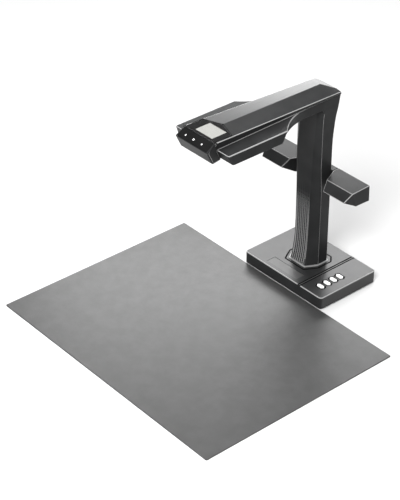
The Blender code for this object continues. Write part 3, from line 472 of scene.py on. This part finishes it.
def tidied(mesh):
    """Welded mesh whose flat faces are whole."""
    bm = bmesh.new()
    bm.from_mesh(mesh)
    bmesh.ops.remove_doubles(bm, verts=bm.verts, dist=0.004 * MM)
    bmesh.ops.dissolve_limit(bm, angle_limit=math.radians(0.3), verts=bm.verts, edges=bm.edges)
    return finished(bm)


def softened(mesh, width, angle):
    """The mesh with every edge sharper than an angle rounded."""
    work = bpy.data.objects.new("work", mesh)
    bpy.context.scene.collection.objects.link(work)
    mod = work.modifiers.new("edges", "BEVEL")
    mod.width = width
    mod.segments = 3
    mod.limit_method = "ANGLE"
    mod.angle_limit = math.radians(angle)
    mod.use_clamp_overlap = False
    result = bpy.data.meshes.new_from_object(work.evaluated_get(bpy.context.evaluated_depsgraph_get()))
    bpy.data.objects.remove(work)
    return tidied(result)


def mark_edge_highlights(mesh, polished):
    """Mark the narrow faces that turn round a convex edge, where the material paints a highlight and adds
    gloss.

    The mark grows with the turn; the test passed in says from a face's middle and normal whether it may have
    one.
    """
    bm = bmesh.new()
    bm.from_mesh(mesh)
    mark = bm.loops.layers.float.new("edge")
    for face in bm.faces:
        longest = max(edge.calc_length() for edge in face.edges)
        if face.calc_area() > EDGE_WIDTH * longest or not polished(face.calc_center_median(), face.normal):
            continue
        turn = sum(edge.calc_face_angle_signed(0.0) for edge in face.edges
                   if len(edge.link_faces) == 2 and edge.calc_length() > 0.5 * longest)
        for loop in face.loops:
            loop[mark] = min(max((turn - EDGE_TURN) / EDGE_TURN, 0.0), 1.0)
    bm.to_mesh(mesh)
    bm.free()


def upward(middle, normal):
    """Faces that don't look down."""
    return normal.z > -0.25


# narrow faces, under EDGE_WIDTH across, that turn by more than EDGE_TURN get the painted edge highlight
EDGE_WIDTH = 1.0 * MM
EDGE_TURN = math.radians(14)


def show(name, mesh, slot, body, replaced=(), edge=0.0, edge_angle=45, sharp=38, polished=upward):
    """Put a finished shape into the scene as a piece that rides on a body."""
    if edge:
        mesh = softened(mesh, edge, edge_angle)
    mark_edge_highlights(mesh, polished)
    obj = bpy.data.objects.new(name, mesh)
    bpy.context.scene.collection.objects.link(obj)
    mesh.materials.clear()
    mesh.materials.append(slot_material(slot))
    mesh.shade_smooth()
    mesh.set_sharp_from_angle(angle=math.radians(sharp))
    even = obj.modifiers.new("normals", "WEIGHTED_NORMAL")
    even.keep_sharp = True
    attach(obj, body)
    if replaced:
        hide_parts(*replaced)
    return obj


# ------------------------------------------------------------------ places read from the frame

BASE_LOW, BASE_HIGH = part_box("base_top_cover")
COLUMN_LOW, COLUMN_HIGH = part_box("column_rear_shell")
COVER_LOW, COVER_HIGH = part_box("column_front_cover")
HOUSING_LOW, HOUSING_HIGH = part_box("arm_lower_housing")
ARM_X = (COLUMN_LOW.x + COLUMN_HIGH.x) / 2
BASE_FRONT, BASE_BACK, BASE_TOP = BASE_LOW.y, BASE_HIGH.y, BASE_HIGH.z
ARM_BOTTOM, WING_TOP = HOUSING_LOW.z, HOUSING_HIGH.z
GAP = 0.3 * MM


def at(x, depth, z):
    """Point at x from the arm's middle plane, depth behind the base's front face and height z."""
    return Vector((ARM_X + x, BASE_FRONT + depth, z))


def ease(value, low, high, start, end):
    """Smooth step from start to end as value goes from low to high."""
    t = min(max((value - low) / (high - low), 0.0), 1.0)
    return start + (end - start) * t * t * (3 - 2 * t)


# ------------------------------------------------------------------ base

def plan(points):
    """Outline in world X and Y from (x, depth) points in millimetres, measured as at() does."""
    return [Vector(at(x * MM, depth * MM, 0).xy) for x, depth in points]


def octagon(half, front, back, chamfer_x, chamfer_y, back_chamfer):
    """Rectangle with its four corners cut off, in millimetres."""
    return plan([(-half + chamfer_x, front), (half - chamfer_x, front), (half, front + chamfer_y),
                 (half, back - back_chamfer), (half - back_chamfer, back), (-half + back_chamfer, back),
                 (-half, back - back_chamfer), (-half, front + chamfer_y)])


KEY_NODES = [f"key_{number}" for number in range(1, 5)]
REAR_NODES = ("dc_socket", "usb_socket", "hdmi_socket", "power_switch_frame")
BASE_WALL = 2.3 * MM
RING_WIDTH = 3.1 * MM
SEAM_X = 43.5 * MM                   # middle of the dark seam that sets the key panel off
SEAM_HALF = 3.8 * MM
KEY_RIM = 2.1 * MM                   # width of the black rim round each key
KEY_PLAY = 0.5 * MM                  # how far a key's cap stands inside its CAD outline
KEY_POINT = 3.2 * MM                 # how far the ends of a key's long hexagon come to a point


def key_plan(node, grow):
    """Long hexagon across the panel, grown or shrunk about a key."""
    low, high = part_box(node)
    middle = (low + high) / 2
    half_x, half_y = (high.x - low.x) / 2 + grow, (high.y - low.y) / 2 + grow
    flat = half_x - KEY_POINT
    return [Vector((middle.x + x, middle.y + y)) for x, y in (
        (half_x, 0), (flat, half_y), (-flat, half_y), (-half_x, 0), (-flat, -half_y), (flat, -half_y))]


def make_base():
    outline = fillet(rectangle(BASE_LOW.x, BASE_HIGH.x, BASE_FRONT, BASE_BACK), 7 * MM, 8)
    shell = slab(outline, BASE_LOW.z, BASE_TOP, 0.8 * MM, 1.4 * MM, 4)
    cuts = [slab(inset(outline, BASE_WALL), BASE_LOW.z - 2 * MM, BASE_TOP - BASE_WALL, 0.1 * MM, 0.5 * MM, 1)]
    cuts.append(ring(0.0, BASE_TOP - 1 * MM, BASE_TOP + 1 * MM, 0.1 * MM))
    cuts.append(block((SEAM_X - SEAM_HALF, BASE_FRONT - 1 * MM, BASE_TOP - 1.4 * MM),
                      (SEAM_X + SEAM_HALF, BASE_BACK + 1 * MM, BASE_TOP + 1 * MM)))
    badge_low, badge_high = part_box("badge_plate")
    recess = rectangle(badge_low.x - GAP, badge_high.x + GAP, badge_low.y - GAP, badge_high.y + GAP)
    cuts.append(slab(fillet(recess, 1 * MM), BASE_TOP - 1.1 * MM, BASE_TOP + 1 * MM, 0.1 * MM, 0.1 * MM, 1))
    for node in KEY_NODES:
        hole = fillet(key_plan(node, KEY_RIM + GAP), 0.5 * MM)
        cuts.append(slab(hole, BASE_TOP - 6 * MM, BASE_TOP + 4 * MM, 0.1 * MM, 0.1 * MM, 1))
    for node in REAR_NODES:
        low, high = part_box(node)
        cuts.append(block((low.x - GAP, BASE_BACK - 5 * MM, low.z - GAP),
                          (high.x + GAP, BASE_BACK + 2 * MM, high.z + GAP)))
    show("base_cover", carve(shell, cuts), "base_graphite", "scanner", ("base_top_cover",),
         polished=lambda middle, normal: normal.z > 0.05)
    # matt black ring laid in the groove round the column's foot: painted shade standing for the groove's
    # shadow
    groove_shade = ring(GAP / 2, BASE_TOP - 0.9 * MM, BASE_TOP - 0.15 * MM, 0.1 * MM)
    show("ring_groove_shade", groove_shade, "socket_black", "scanner")
    # matt black bed in the seam channel: painted shade standing for the shadow in its two grooves
    front, back = BASE_FRONT + 0.3 * MM, BASE_BACK - 0.3 * MM
    shade_bed = rectangle(SEAM_X - SEAM_HALF + 0.1 * MM, SEAM_X + SEAM_HALF - 0.1 * MM, front, back)
    shade_bed_mesh = slab(shade_bed, BASE_TOP - 1.3 * MM, BASE_TOP - 0.4 * MM, 0.1 * MM, 0.1 * MM, 1)
    show("seam_shade_bed", shade_bed_mesh, "socket_black", "scanner")
    # raised strip on the bed, standing for the ridge between the grooves, coloured lighter as a painted
    # highlight
    line = rectangle(SEAM_X - 0.9 * MM, SEAM_X + 0.9 * MM, front, back)
    line_mesh = slab(line, BASE_TOP - 0.39 * MM, BASE_TOP - 0.1 * MM, 0.05 * MM, 0.2 * MM, 2)
    show("seam_ridge_highlight", line_mesh, "badge_grey", "scanner")
    plate = fillet(rectangle(badge_low.x, badge_high.x, badge_low.y, badge_high.y), 0.8 * MM)
    show("badge_insert", slab(plate, badge_low.z, badge_high.z, 0.1 * MM, 0.25 * MM, 3), "badge_grey",
         "scanner", ("badge_plate",))


def ring(shrink, low, high, edge):
    """Band round the column's foot, with both sides moved inwards by shrink."""
    outer = [Vector(point) for point in octagon(39.2, 38.2, 107.6, 14, 25, 12)]
    band = slab(fillet(inset(outer, shrink), 4 * MM, 5), low, high, edge, edge, 3)
    island = slab(fillet(inset(outer, RING_WIDTH - shrink), 3 * MM, 5), low - 2 * MM, high + 2 * MM, 0.1 * MM,
                  0.1 * MM, 1)
    return carve(band, [island])


def make_keys():
    for node in KEY_NODES:
        outline = fillet(key_plan(node, -KEY_PLAY), 0.35 * MM, 4)
        cap = slab(outline, BASE_TOP - 3.4 * MM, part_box(node)[1].z, 0.2 * MM, 0.4 * MM, 4)
        show(f"{node}_cap", cap, "key_white", node, (node,))
    frame_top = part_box("key_frame")[1].z
    for number, node in enumerate(KEY_NODES, 1):
        outer = slab(fillet(key_plan(node, KEY_RIM), 0.6 * MM, 4), BASE_TOP - 5 * MM, frame_top, 0.1 * MM,
                     0.3 * MM, 3)
        hole = slab(fillet(key_plan(node, GAP), 0.5 * MM, 4), BASE_TOP - 8 * MM, BASE_TOP + 4 * MM, 0.1 * MM,
                    0.1 * MM, 1)
        show(f"key_rim_{number}", carve(outer, [hole]), "socket_black", "scanner",
             ("key_frame",) if number == 1 else ())


def make_collar():
    low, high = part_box("foot_collar")
    half = (high.x - low.x) / 2
    outline = [Vector((ARM_X + x, y)) for x, y in (
        (13 * MM - half, low.y), (half - 13 * MM, low.y), (half, low.y + 22 * MM), (half, high.y - 4 * MM),
        (half - 4 * MM, high.y), (4 * MM - half, high.y), (-half, high.y - 4 * MM), (-half, low.y + 22 * MM))]
    show("collar_ring", slab(fillet(outline, 2.5 * MM, 5), low.z, high.z, 0.2 * MM, 0.8 * MM, 4),
         "collar_grey", "scanner", ("foot_collar",))


# ------------------------------------------------------------------ column

GROOVE_COUNT = 7
GROOVE_DEPTH = 1.6 * MM
GROOVE_HALF = 0.31                   # half width of a groove, in pitches
GROOVE_TOP = 190 * MM
COVER_WALL = 3 * MM
COLUMN_HALF = (COLUMN_HIGH.x - COLUMN_LOW.x) / 2
ARCH_RADIUS = 8 * MM


def column_front(z):
    """Depth and half width of the column's front face at a height."""
    flare = 9.6 * MM * math.exp(-(z - BASE_TOP) / (26 * MM))
    depth = 55.8 * MM - flare + ease(z, 250 * MM, 325 * MM, 0, 4.4 * MM)
    half = 17.6 * MM + 1.9 * MM * math.exp(-(z - BASE_TOP) / (20 * MM))
    half += ease(z, 90 * MM, 300 * MM, 0, 3.4 * MM)
    return depth, half


def column_side(z):
    """Depth of the seam between front cover and rear shell."""
    return 69 * MM - ease(z, 170 * MM, 240 * MM, 0, 3.5 * MM)


def column_back(z):
    return 92 * MM + ease(z, 262 * MM, 433 * MM, 0, 18 * MM)


def cover_section(z):
    """Front cover: chamfer, grooved face, chamfer, with rounded corners between them."""
    depth, half = column_front(z)
    side = column_side(z) - GAP / 2
    corner = 2.2 * MM
    lean = Vector((COLUMN_HALF - half, side - depth)).normalized() * corner
    arc = []
    start, middle, end = Vector((half, depth)) + lean, Vector((half, depth)), Vector((half - corner, depth))
    for step in range(6):
        t = step / 5
        arc.append(start.lerp(middle, t).lerp(middle.lerp(end, t), t))
    face = []
    fade = max(0.0, 1 - (z - BASE_TOP) / (GROOVE_TOP - BASE_TOP))
    cut = GROOVE_DEPTH * min(1.0, 1.6 * fade)
    pitch = 2 * half / (GROOVE_COUNT + 1)
    for number in range(GROOVE_COUNT):
        middle_x = half - pitch * (number + 1)
        for step in range(-4, 5):
            across = step / 4
            face.append(Vector((middle_x - across * GROOVE_HALF * pitch,
                                depth + cut * (0.5 + 0.5 * math.cos(math.pi * across)))))
    left = [Vector((-p.x, p.y)) for p in reversed(arc)]
    outer = [Vector((COLUMN_HALF, side)), *arc, *face, *left, Vector((-COLUMN_HALF, side))]
    inner_half = half - COVER_WALL / 2
    inner = [Vector((-COLUMN_HALF + COVER_WALL, side)), Vector((-inner_half, depth + COVER_WALL)),
             Vector((inner_half, depth + COVER_WALL)), Vector((COLUMN_HALF - COVER_WALL, side))]
    return [at(p.x, p.y, z) for p in outer + inner]


def steps_between(low, high, count):
    return [low + (high - low) * i / (count - 1) for i in range(count)]


def make_column_cover():
    heights = steps_between(COVER_LOW.z, 85 * MM, 16)[:-1] + steps_between(85 * MM, COVER_HIGH.z, 36)
    show("column_cover", loft([cover_section(z) for z in heights]), "shell_graphite", "scanner",
         ("column_front_cover",), sharp=50,
         polished=lambda middle, normal: abs(middle.x - ARM_X) < column_front(middle.z)[1] - 1.5 * MM)


def housing_plan(shrink, level, back):
    """Plan of the lower housing: a slim arm at the back that sweeps out into two wings."""
    arm_half = 33 * MM
    wing_half = 67 * MM + 3.5 * MM * (1 - level)
    sweep_start = 24 * MM - 4 * MM * level
    sweep_end = -67 * MM + 15 * MM * level
    power = 2.0 + 0.1 * level
    front = -182 * MM + 7.7 * MM * (1 - level)
    side = []
    steps = 22
    for step in range(steps + 1):
        t = step / steps
        side.append(Vector((arm_half + (wing_half - arm_half) * t ** power,
                            sweep_start + (sweep_end - sweep_start) * t)))
    corner = fillet([side[-1], (wing_half, front), (0, front)], 4 * MM, 6)[7:14]
    rear = fillet([(0, back), (arm_half, back), side[0]], 3 * MM, 4)[5:10]
    half = rear + side + corner
    outline = [at(p.x, p.y, 0).xy for p in half] + [at(-p.x, p.y, 0).xy for p in reversed(half)]
    return [Vector(p) for p in inset([Vector(p) for p in reversed(outline)], shrink)]


def column_plan(z):
    """Rear shell's outline; its front edge runs forward into the arm in an arch."""
    side, back = column_side(z) + GAP / 2, column_back(z)
    rise = z - (ARM_BOTTOM - ARCH_RADIUS)
    if rise > 0:
        side -= ARCH_RADIUS - math.sqrt(max(ARCH_RADIUS ** 2 - min(rise, ARCH_RADIUS) ** 2, 0))
    half = COLUMN_HALF + ease(z, 318 * MM, ARM_BOTTOM, 0, 33.02 * MM - COLUMN_HALF)
    corner = 3 * MM
    points = fillet([(-half, side), (half, side), (half, back), (-half, back)],
                    [0.3 * MM, 0.3 * MM, corner, corner], 4)
    return [at(p.x, p.y, z) for p in points]


# openings under the head for the two lamp diffusers and the laser: x range and depth range in millimetres
UNDER_OPENINGS = ((-60.3, -49.7, -160.3, -69.7), (49.7, 60.3, -160.3, -69.7), (-8.3, 8.3, 36.7, 47.3))


def make_body():
    levels = []
    back_low, back_high = column_back(ARM_BOTTOM), column_back(WING_TOP)
    height = WING_TOP - ARM_BOTTOM
    for shrink, drop in reversed(rim(1.2 * MM, 4)):
        levels.append((ARM_BOTTOM + drop, shrink, drop / height, back_low))
    for shrink, drop in rim(1.4 * MM, 4):
        levels.append((WING_TOP - drop, shrink, 1 - drop / height, back_high))
    housing = loft([[(*point, z) for point in housing_plan(shrink, level, back)]
                    for z, shrink, level, back in levels])
    low = ARM_BOTTOM - ARCH_RADIUS
    arch = [low + ARCH_RADIUS * math.sin(math.pi / 2 * i / 8) for i in range(1, 9)]
    heights = steps_between(COLUMN_LOW.z, low, 26) + arch + [ARM_BOTTOM + 8 * MM]
    column = loft([column_plan(z) for z in heights])
    cuts = [turned(((17.4, -8), (17.4, 6)), at(0, -140 * MM, ARM_BOTTOM))]
    for x0, x1, front, back in UNDER_OPENINGS:
        cuts.append(block(at(x0 * MM, front * MM, ARM_BOTTOM - 5 * MM),
                          at(x1 * MM, back * MM, ARM_BOTTOM + 5 * MM)))
    body = carve(carve(housing, [column], "UNION"), cuts)
    show("body_shell", body, "shell_graphite", "scanner", ("column_rear_shell", "arm_lower_housing"),
         sharp=40, polished=on_wing)


def on_wing(middle, normal):
    """True on the wings' upper edges and on the column's upright ones."""
    if middle.z < ARM_BOTTOM - ARCH_RADIUS:
        return True
    clear_of_roof = abs(middle.x - ARM_X) > 34.5 * MM or middle.y < BASE_FRONT - 170 * MM
    return normal.z > 0.1 and clear_of_roof


# ------------------------------------------------------------------ head

BEAD = 0.9 * MM                      # lip along the foot of the head's walls
BEAD_RISE = 1.4 * MM
SEAL_WIDTH = 1.3 * MM                # dark seal round the bezel


def eave(depth):
    t = (102 * MM - depth) / (249 * MM)
    return 370 * MM + 8.2 * MM * t


def roof_half(depth):
    t = (104.5 * MM - depth) / (251.5 * MM)
    return 33 * MM + 5.5 * MM * t


def roof_section(depth, crest_half, crest, shrink=0.0):
    half, edge = roof_half(depth), eave(depth)
    floor = WING_TOP + GAP
    bead = BEAD - ease(depth, -20 * MM, 30 * MM, 0, BEAD - 0.1 * MM)
    lip = floor + BEAD_RISE
    points = [(-half - bead, floor), (half + bead, floor), (half + bead, lip), (half, lip), (half, edge),
              (crest_half, crest), (-crest_half, crest), (-half, edge), (-half, lip), (-half - bead, lip)]
    radii = (0.2, 0.2, 0.7, 0.3, 1.5, 0.5, 0.5, 1.5, 0.3, 0.7)
    outline = inset(fillet(points, [radius * MM for radius in radii], 4), shrink)
    return [at(p.x, depth, p.y) for p in outline]


def roof_crest(depth):
    """Half width and height of the roof's top at a depth: a ridge, with a hip at the back."""
    if depth > 85.5 * MM:
        t = (104.5 * MM - depth) / (19 * MM)
        return 22 * MM + (0.5 * MM - 22 * MM) * t, 371.6 * MM + 6.4 * MM * t
    if depth > -134 * MM:
        return 0.5 * MM, 378 * MM + 2 * MM * (85.5 * MM - depth) / (219.5 * MM)
    return 0.5 * MM, 380 * MM


def bezel_plan(grow=0.0):
    points = ((-36.8, -184.8), (36.8, -184.8), (36.6, -147), (0, -134.5), (-36.6, -147))
    return fillet(inset([Vector(point) for point in plan(points)], -grow),
                  [0.6 * MM, 0.6 * MM, 1.2 * MM, 1.5 * MM, 1.2 * MM], 4)


def make_roof():
    back = 104.5 * MM
    sections = []
    for shrink, drop in reversed(rim(1.2 * MM, 4)):
        sections.append(roof_section(back - drop, *roof_crest(back - drop), shrink))
    for depth in (95, 85.5, 60, 20, -20, -60, -100, -134, -150, -165, -182):
        sections.append(roof_section(depth * MM, *roof_crest(depth * MM)))
    shell = loft(sections)
    bezel_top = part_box("lcd_bezel")[1].z
    pocket = slab(bezel_plan(0.4 * MM), bezel_top - 2.4 * MM, bezel_top + 8 * MM, 0.05 * MM, 0.05 * MM, 1)
    show("roof_shell", carve(shell, [pocket]), "shell_graphite", "scanner", ("arm_upper_shell",), sharp=14)


def make_screen():
    low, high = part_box("lcd_bezel")
    glass_low, glass_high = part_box("lcd_screen")
    bezel = slab(bezel_plan(-SEAL_WIDTH), low.z, high.z, 0.1 * MM, 0.5 * MM, 4)
    front_cut = block(at(-60 * MM, -190 * MM, low.z - 2 * MM), at(60 * MM, -184.7 * MM, high.z + 2 * MM))
    inner = slab(bezel_plan(-SEAL_WIDTH + 0.1 * MM), low.z - 1 * MM, high.z + 1 * MM, 0.1 * MM, 0.1 * MM, 1)
    seal = carve(slab(bezel_plan(0.3 * MM), low.z, high.z, 0.1 * MM, 0.1 * MM, 1), [inner, front_cut])
    show("bezel_seal", seal, "socket_black", "scanner")
    window = rectangle(glass_low.x - GAP, glass_high.x + GAP, glass_low.y - GAP, glass_high.y + GAP)
    opening = slab(fillet(window, 0.8 * MM), low.z - 1 * MM, high.z + 1 * MM, 0.1 * MM, 0.1 * MM, 1)
    show("screen_bezel", carve(bezel, [opening]), "gloss_black", "scanner", ("lcd_bezel",))
    outline = fillet(rectangle(glass_low.x, glass_high.x, glass_low.y, glass_high.y), 0.6 * MM)
    show("screen_panel", slab(outline, glass_low.z, glass_high.z, 0.1 * MM, 0.15 * MM, 3), "screen_grey",
         "scanner", ("lcd_screen",))


STRIP_BACK = Vector((-186.2 * MM, 379.0 * MM))
STRIP_FRONT = Vector((-202.6 * MM, 367.9 * MM))
STRIP_HALF = 36.5 * MM
NOSE_HALF = 41 * MM
NOSE_END = 2.5 * MM                  # rounding at the ends
NOSE_TAPER = 0.14                    # how fast the ends lean in above NOSE_TAPER_FROM
NOSE_TAPER_FROM = 366 * MM

# the nose from the side: depth, height and corner radius in millimetres
NOSE_PROFILE = ((-182.3, WING_TOP / MM, 0.2), (-174.6, ARM_BOTTOM / MM, 0.5), (-175.6, 345.6, 1.5),
                (-190.5, 343.6, 1.5), (-192.5, 344.2, 1.5), (-203.4, 366.8, 1.2), (-203.2, 368.2, 1.2),
                (-185.3, 379.9, 0.5), (-184.9, 379.7, 0.2), (-184.9, 377.4, 0.2), (-182.3, 377.4, 0.2))


def strip_frame():
    """Matrix from the touch strip's own plane, X across and Y up the slope, to the world."""
    up = (STRIP_BACK - STRIP_FRONT).normalized()
    normal = Vector((-up.y, up.x))
    foot = at(0, *STRIP_FRONT)
    return Matrix(((1, 0, 0, foot.x), (0, up.x, normal.x, foot.y), (0, up.y, normal.y, foot.z), (0, 0, 0, 1)))


def on_strip(mesh):
    return moved_mesh(mesh, strip_frame())


def make_nose():
    corners = NOSE_PROFILE[::-1]
    side = fillet([(corner[0] * MM, corner[1] * MM) for corner in corners],
                  [corner[2] * MM for corner in corners], 4)
    inwards = math.copysign(1, area(side))
    ends = rim(NOSE_END, 6)
    sections = []
    for sign, pairs in ((-1, ends[::-1]), (1, ends)):
        for shrink, drop in pairs:
            half = NOSE_HALF - drop
            sections.append([at(sign * (half - max(0, p.y - NOSE_TAPER_FROM) * NOSE_TAPER), p.x, p.y)
                             for p in inset(side, inwards * shrink)])
    shell = loft(sections)
    strip_length = (STRIP_BACK - STRIP_FRONT).length
    recess = rectangle(-STRIP_HALF - GAP, STRIP_HALF + GAP, -GAP, strip_length + 0.3 * MM)
    pocket = on_strip(slab(fillet(recess, 1.0 * MM), -1.5 * MM, 3 * MM, 0.05 * MM, 0.05 * MM, 1))
    show("nose_shell", carve(shell, [pocket]), "shell_graphite", "scanner", ("nose_cover",), sharp=35,
         polished=lambda middle, normal: True)
    outline = fillet(rectangle(-STRIP_HALF, STRIP_HALF, 0.5 * MM, strip_length), 0.9 * MM)
    strip = on_strip(slab(outline, -1.2 * MM, -0.1 * MM, 0.1 * MM, 0.35 * MM, 3))
    show("touch_panel", strip, "gloss_black", "scanner", ("touch_strip",))


def area(points):
    """Area inside an outline, below zero where the outline runs clockwise."""
    return sum(a.x * b.y - b.x * a.y for a, b in zip(points, points[1:] + points[:1])) / 2


def make_icons():
    """Three lit marks: a slanted bar, a square ring and a round dot."""
    length = (STRIP_BACK - STRIP_FRONT).length
    for number in (1, 2, 3):
        low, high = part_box(f"touch_icon_{number}")
        x = (low.x + high.x) / 2 - ARM_X
        y = length * 0.42
        if number == 1:
            outline = [Vector((x + a * MM, y + b * MM))
                       for a, b in ((-1.0, -1.6), (0.5, -1.6), (1.0, 1.6), (-0.5, 1.6))]
            mark = slab(fillet(outline, 0.2 * MM), -0.3 * MM, 0.0, 0.05 * MM, 0.08 * MM, 2)
        elif number == 2:
            square = rectangle(x - 1.9 * MM, x + 1.9 * MM, y - 1.7 * MM, y + 1.7 * MM)
            mark = slab(fillet(square, 0.5 * MM), -0.3 * MM, 0.0, 0.05 * MM, 0.08 * MM, 2)
            hole = slab(fillet(inset(square, 0.7 * MM), 0.3 * MM), -1 * MM, 1 * MM, 0.05 * MM, 0.05 * MM, 1)
            mark = carve(mark, [hole])
        else:
            outline = [Vector((x + 1.4 * MM * math.cos(a), y + 1.4 * MM * math.sin(a)))
                       for a in steps_between(0, 2 * math.pi, 25)[:-1]]
            mark = slab(outline, -0.3 * MM, 0.0, 0.05 * MM, 0.08 * MM, 2)
        show(f"touch_mark_{number}", on_strip(mark), "key_white", "scanner", (f"touch_icon_{number}",))


# ------------------------------------------------------------------ side lights

# the light and its hollow from the side: depth and height in millimetres
LIGHT_PROFILE = ((64.8, 216.2), (106.7, 217.6), (107.5, 186.3), (75.2, 187.3), (50, 201))
LIGHT_HOLLOW = ((66.4, 213.8), (92, 214.6), (92, 189.3), (76.5, 189.8), (69, 180), (45, 193), (53.2, 201.4))
LIGHT_INNER = 33.5 * MM
LIGHT_OUTER = 110.4 * MM
LIGHT_DRAW = 6 * MM                  # how far the outer end leans in from the top's front edge to the lip
LIGHT_SHOULDER = 46.9 * MM           # inner end of the top's front edge
LIGHT_SHOULDER_BACK = 94 * MM        # depth where the cut beside the column reaches the inner end
HOLLOW_INNER = 54 * MM
HOLLOW_OUTER = 102 * MM


def slice_off(mesh, point, normal):
    """Take away what lies beyond a plane, on the side its normal points to, and close the cut."""
    bm = bmesh.new()
    bm.from_mesh(mesh)
    cut = bmesh.ops.bisect_plane(
        bm, geom=bm.verts[:] + bm.edges[:] + bm.faces[:], dist=0.001 * MM,
        plane_co=point, plane_no=normal, clear_outer=True)
    edges = [item for item in cut["geom_cut"] if isinstance(item, bmesh.types.BMEdge)]
    bmesh.ops.contextual_create(bm, geom=edges)
    return finished(bm)


def prism_along_x(points, x0, x1):
    """Prism over points given as depth and height in millimetres."""
    return loft([[at(x, d * MM, z * MM) for d, z in points] for x in (x0, x1)])


def make_side_light(side, word):
    """Light on the left (side -1) or right (side 1) of the column."""
    node = f"light_{word}_housing"
    shell = prism_along_x(LIGHT_PROFILE, *sorted((side * LIGHT_INNER, side * LIGHT_OUTER)))
    top, low, lip = (Vector((0, depth * MM, z * MM)) for depth, z in
                     (LIGHT_PROFILE[0], LIGHT_PROFILE[3], LIGHT_PROFILE[4]))
    end = (low - top).cross(lip - top - Vector((LIGHT_DRAW, 0, 0)))
    end *= 1 if end.x > 0 else -1
    shell = slice_off(shell, at(side * LIGHT_OUTER, top.y, top.z), (end.x * side, end.y, end.z))
    inward = Vector((top.y - LIGHT_SHOULDER_BACK, LIGHT_INNER - LIGHT_SHOULDER, 0)).normalized()
    shell = slice_off(shell, at(side * LIGHT_SHOULDER, top.y, 0), (inward.x * side, inward.y, 0))
    hollow = prism_along_x(LIGHT_HOLLOW, *sorted((side * HOLLOW_INNER, side * HOLLOW_OUTER)))
    show(f"light_{word}_shell", carve(shell, [hollow]), "shell_graphite", BODY_OF[node], (node,),
         edge=0.9 * MM, edge_angle=15)


def make_mat():
    low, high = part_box("work_mat")
    outline = fillet(rectangle(low.x, high.x, low.y, high.y), 3 * MM, 8)
    show("mat_sheet", slab(outline, low.z, high.z, 0.3 * MM, 0.7 * MM, 4), "mat_black", "work_mat",
         ("work_mat",))


make_world()
make_camera()
make_floor()
bpy.context.scene.view_settings.view_transform = "Standard"
for row in SOFTBOXES:
    make_softbox(*row)

for node, obj in NODES.items():
    obj.material_slots[0].material = slot_material(SLOT_OF[node])

make_base()
make_keys()
make_collar()
make_column_cover()
make_body()
make_roof()
make_screen()
make_nose()
make_icons()
make_side_light(-1, "left")
make_side_light(1, "right")
make_mat()
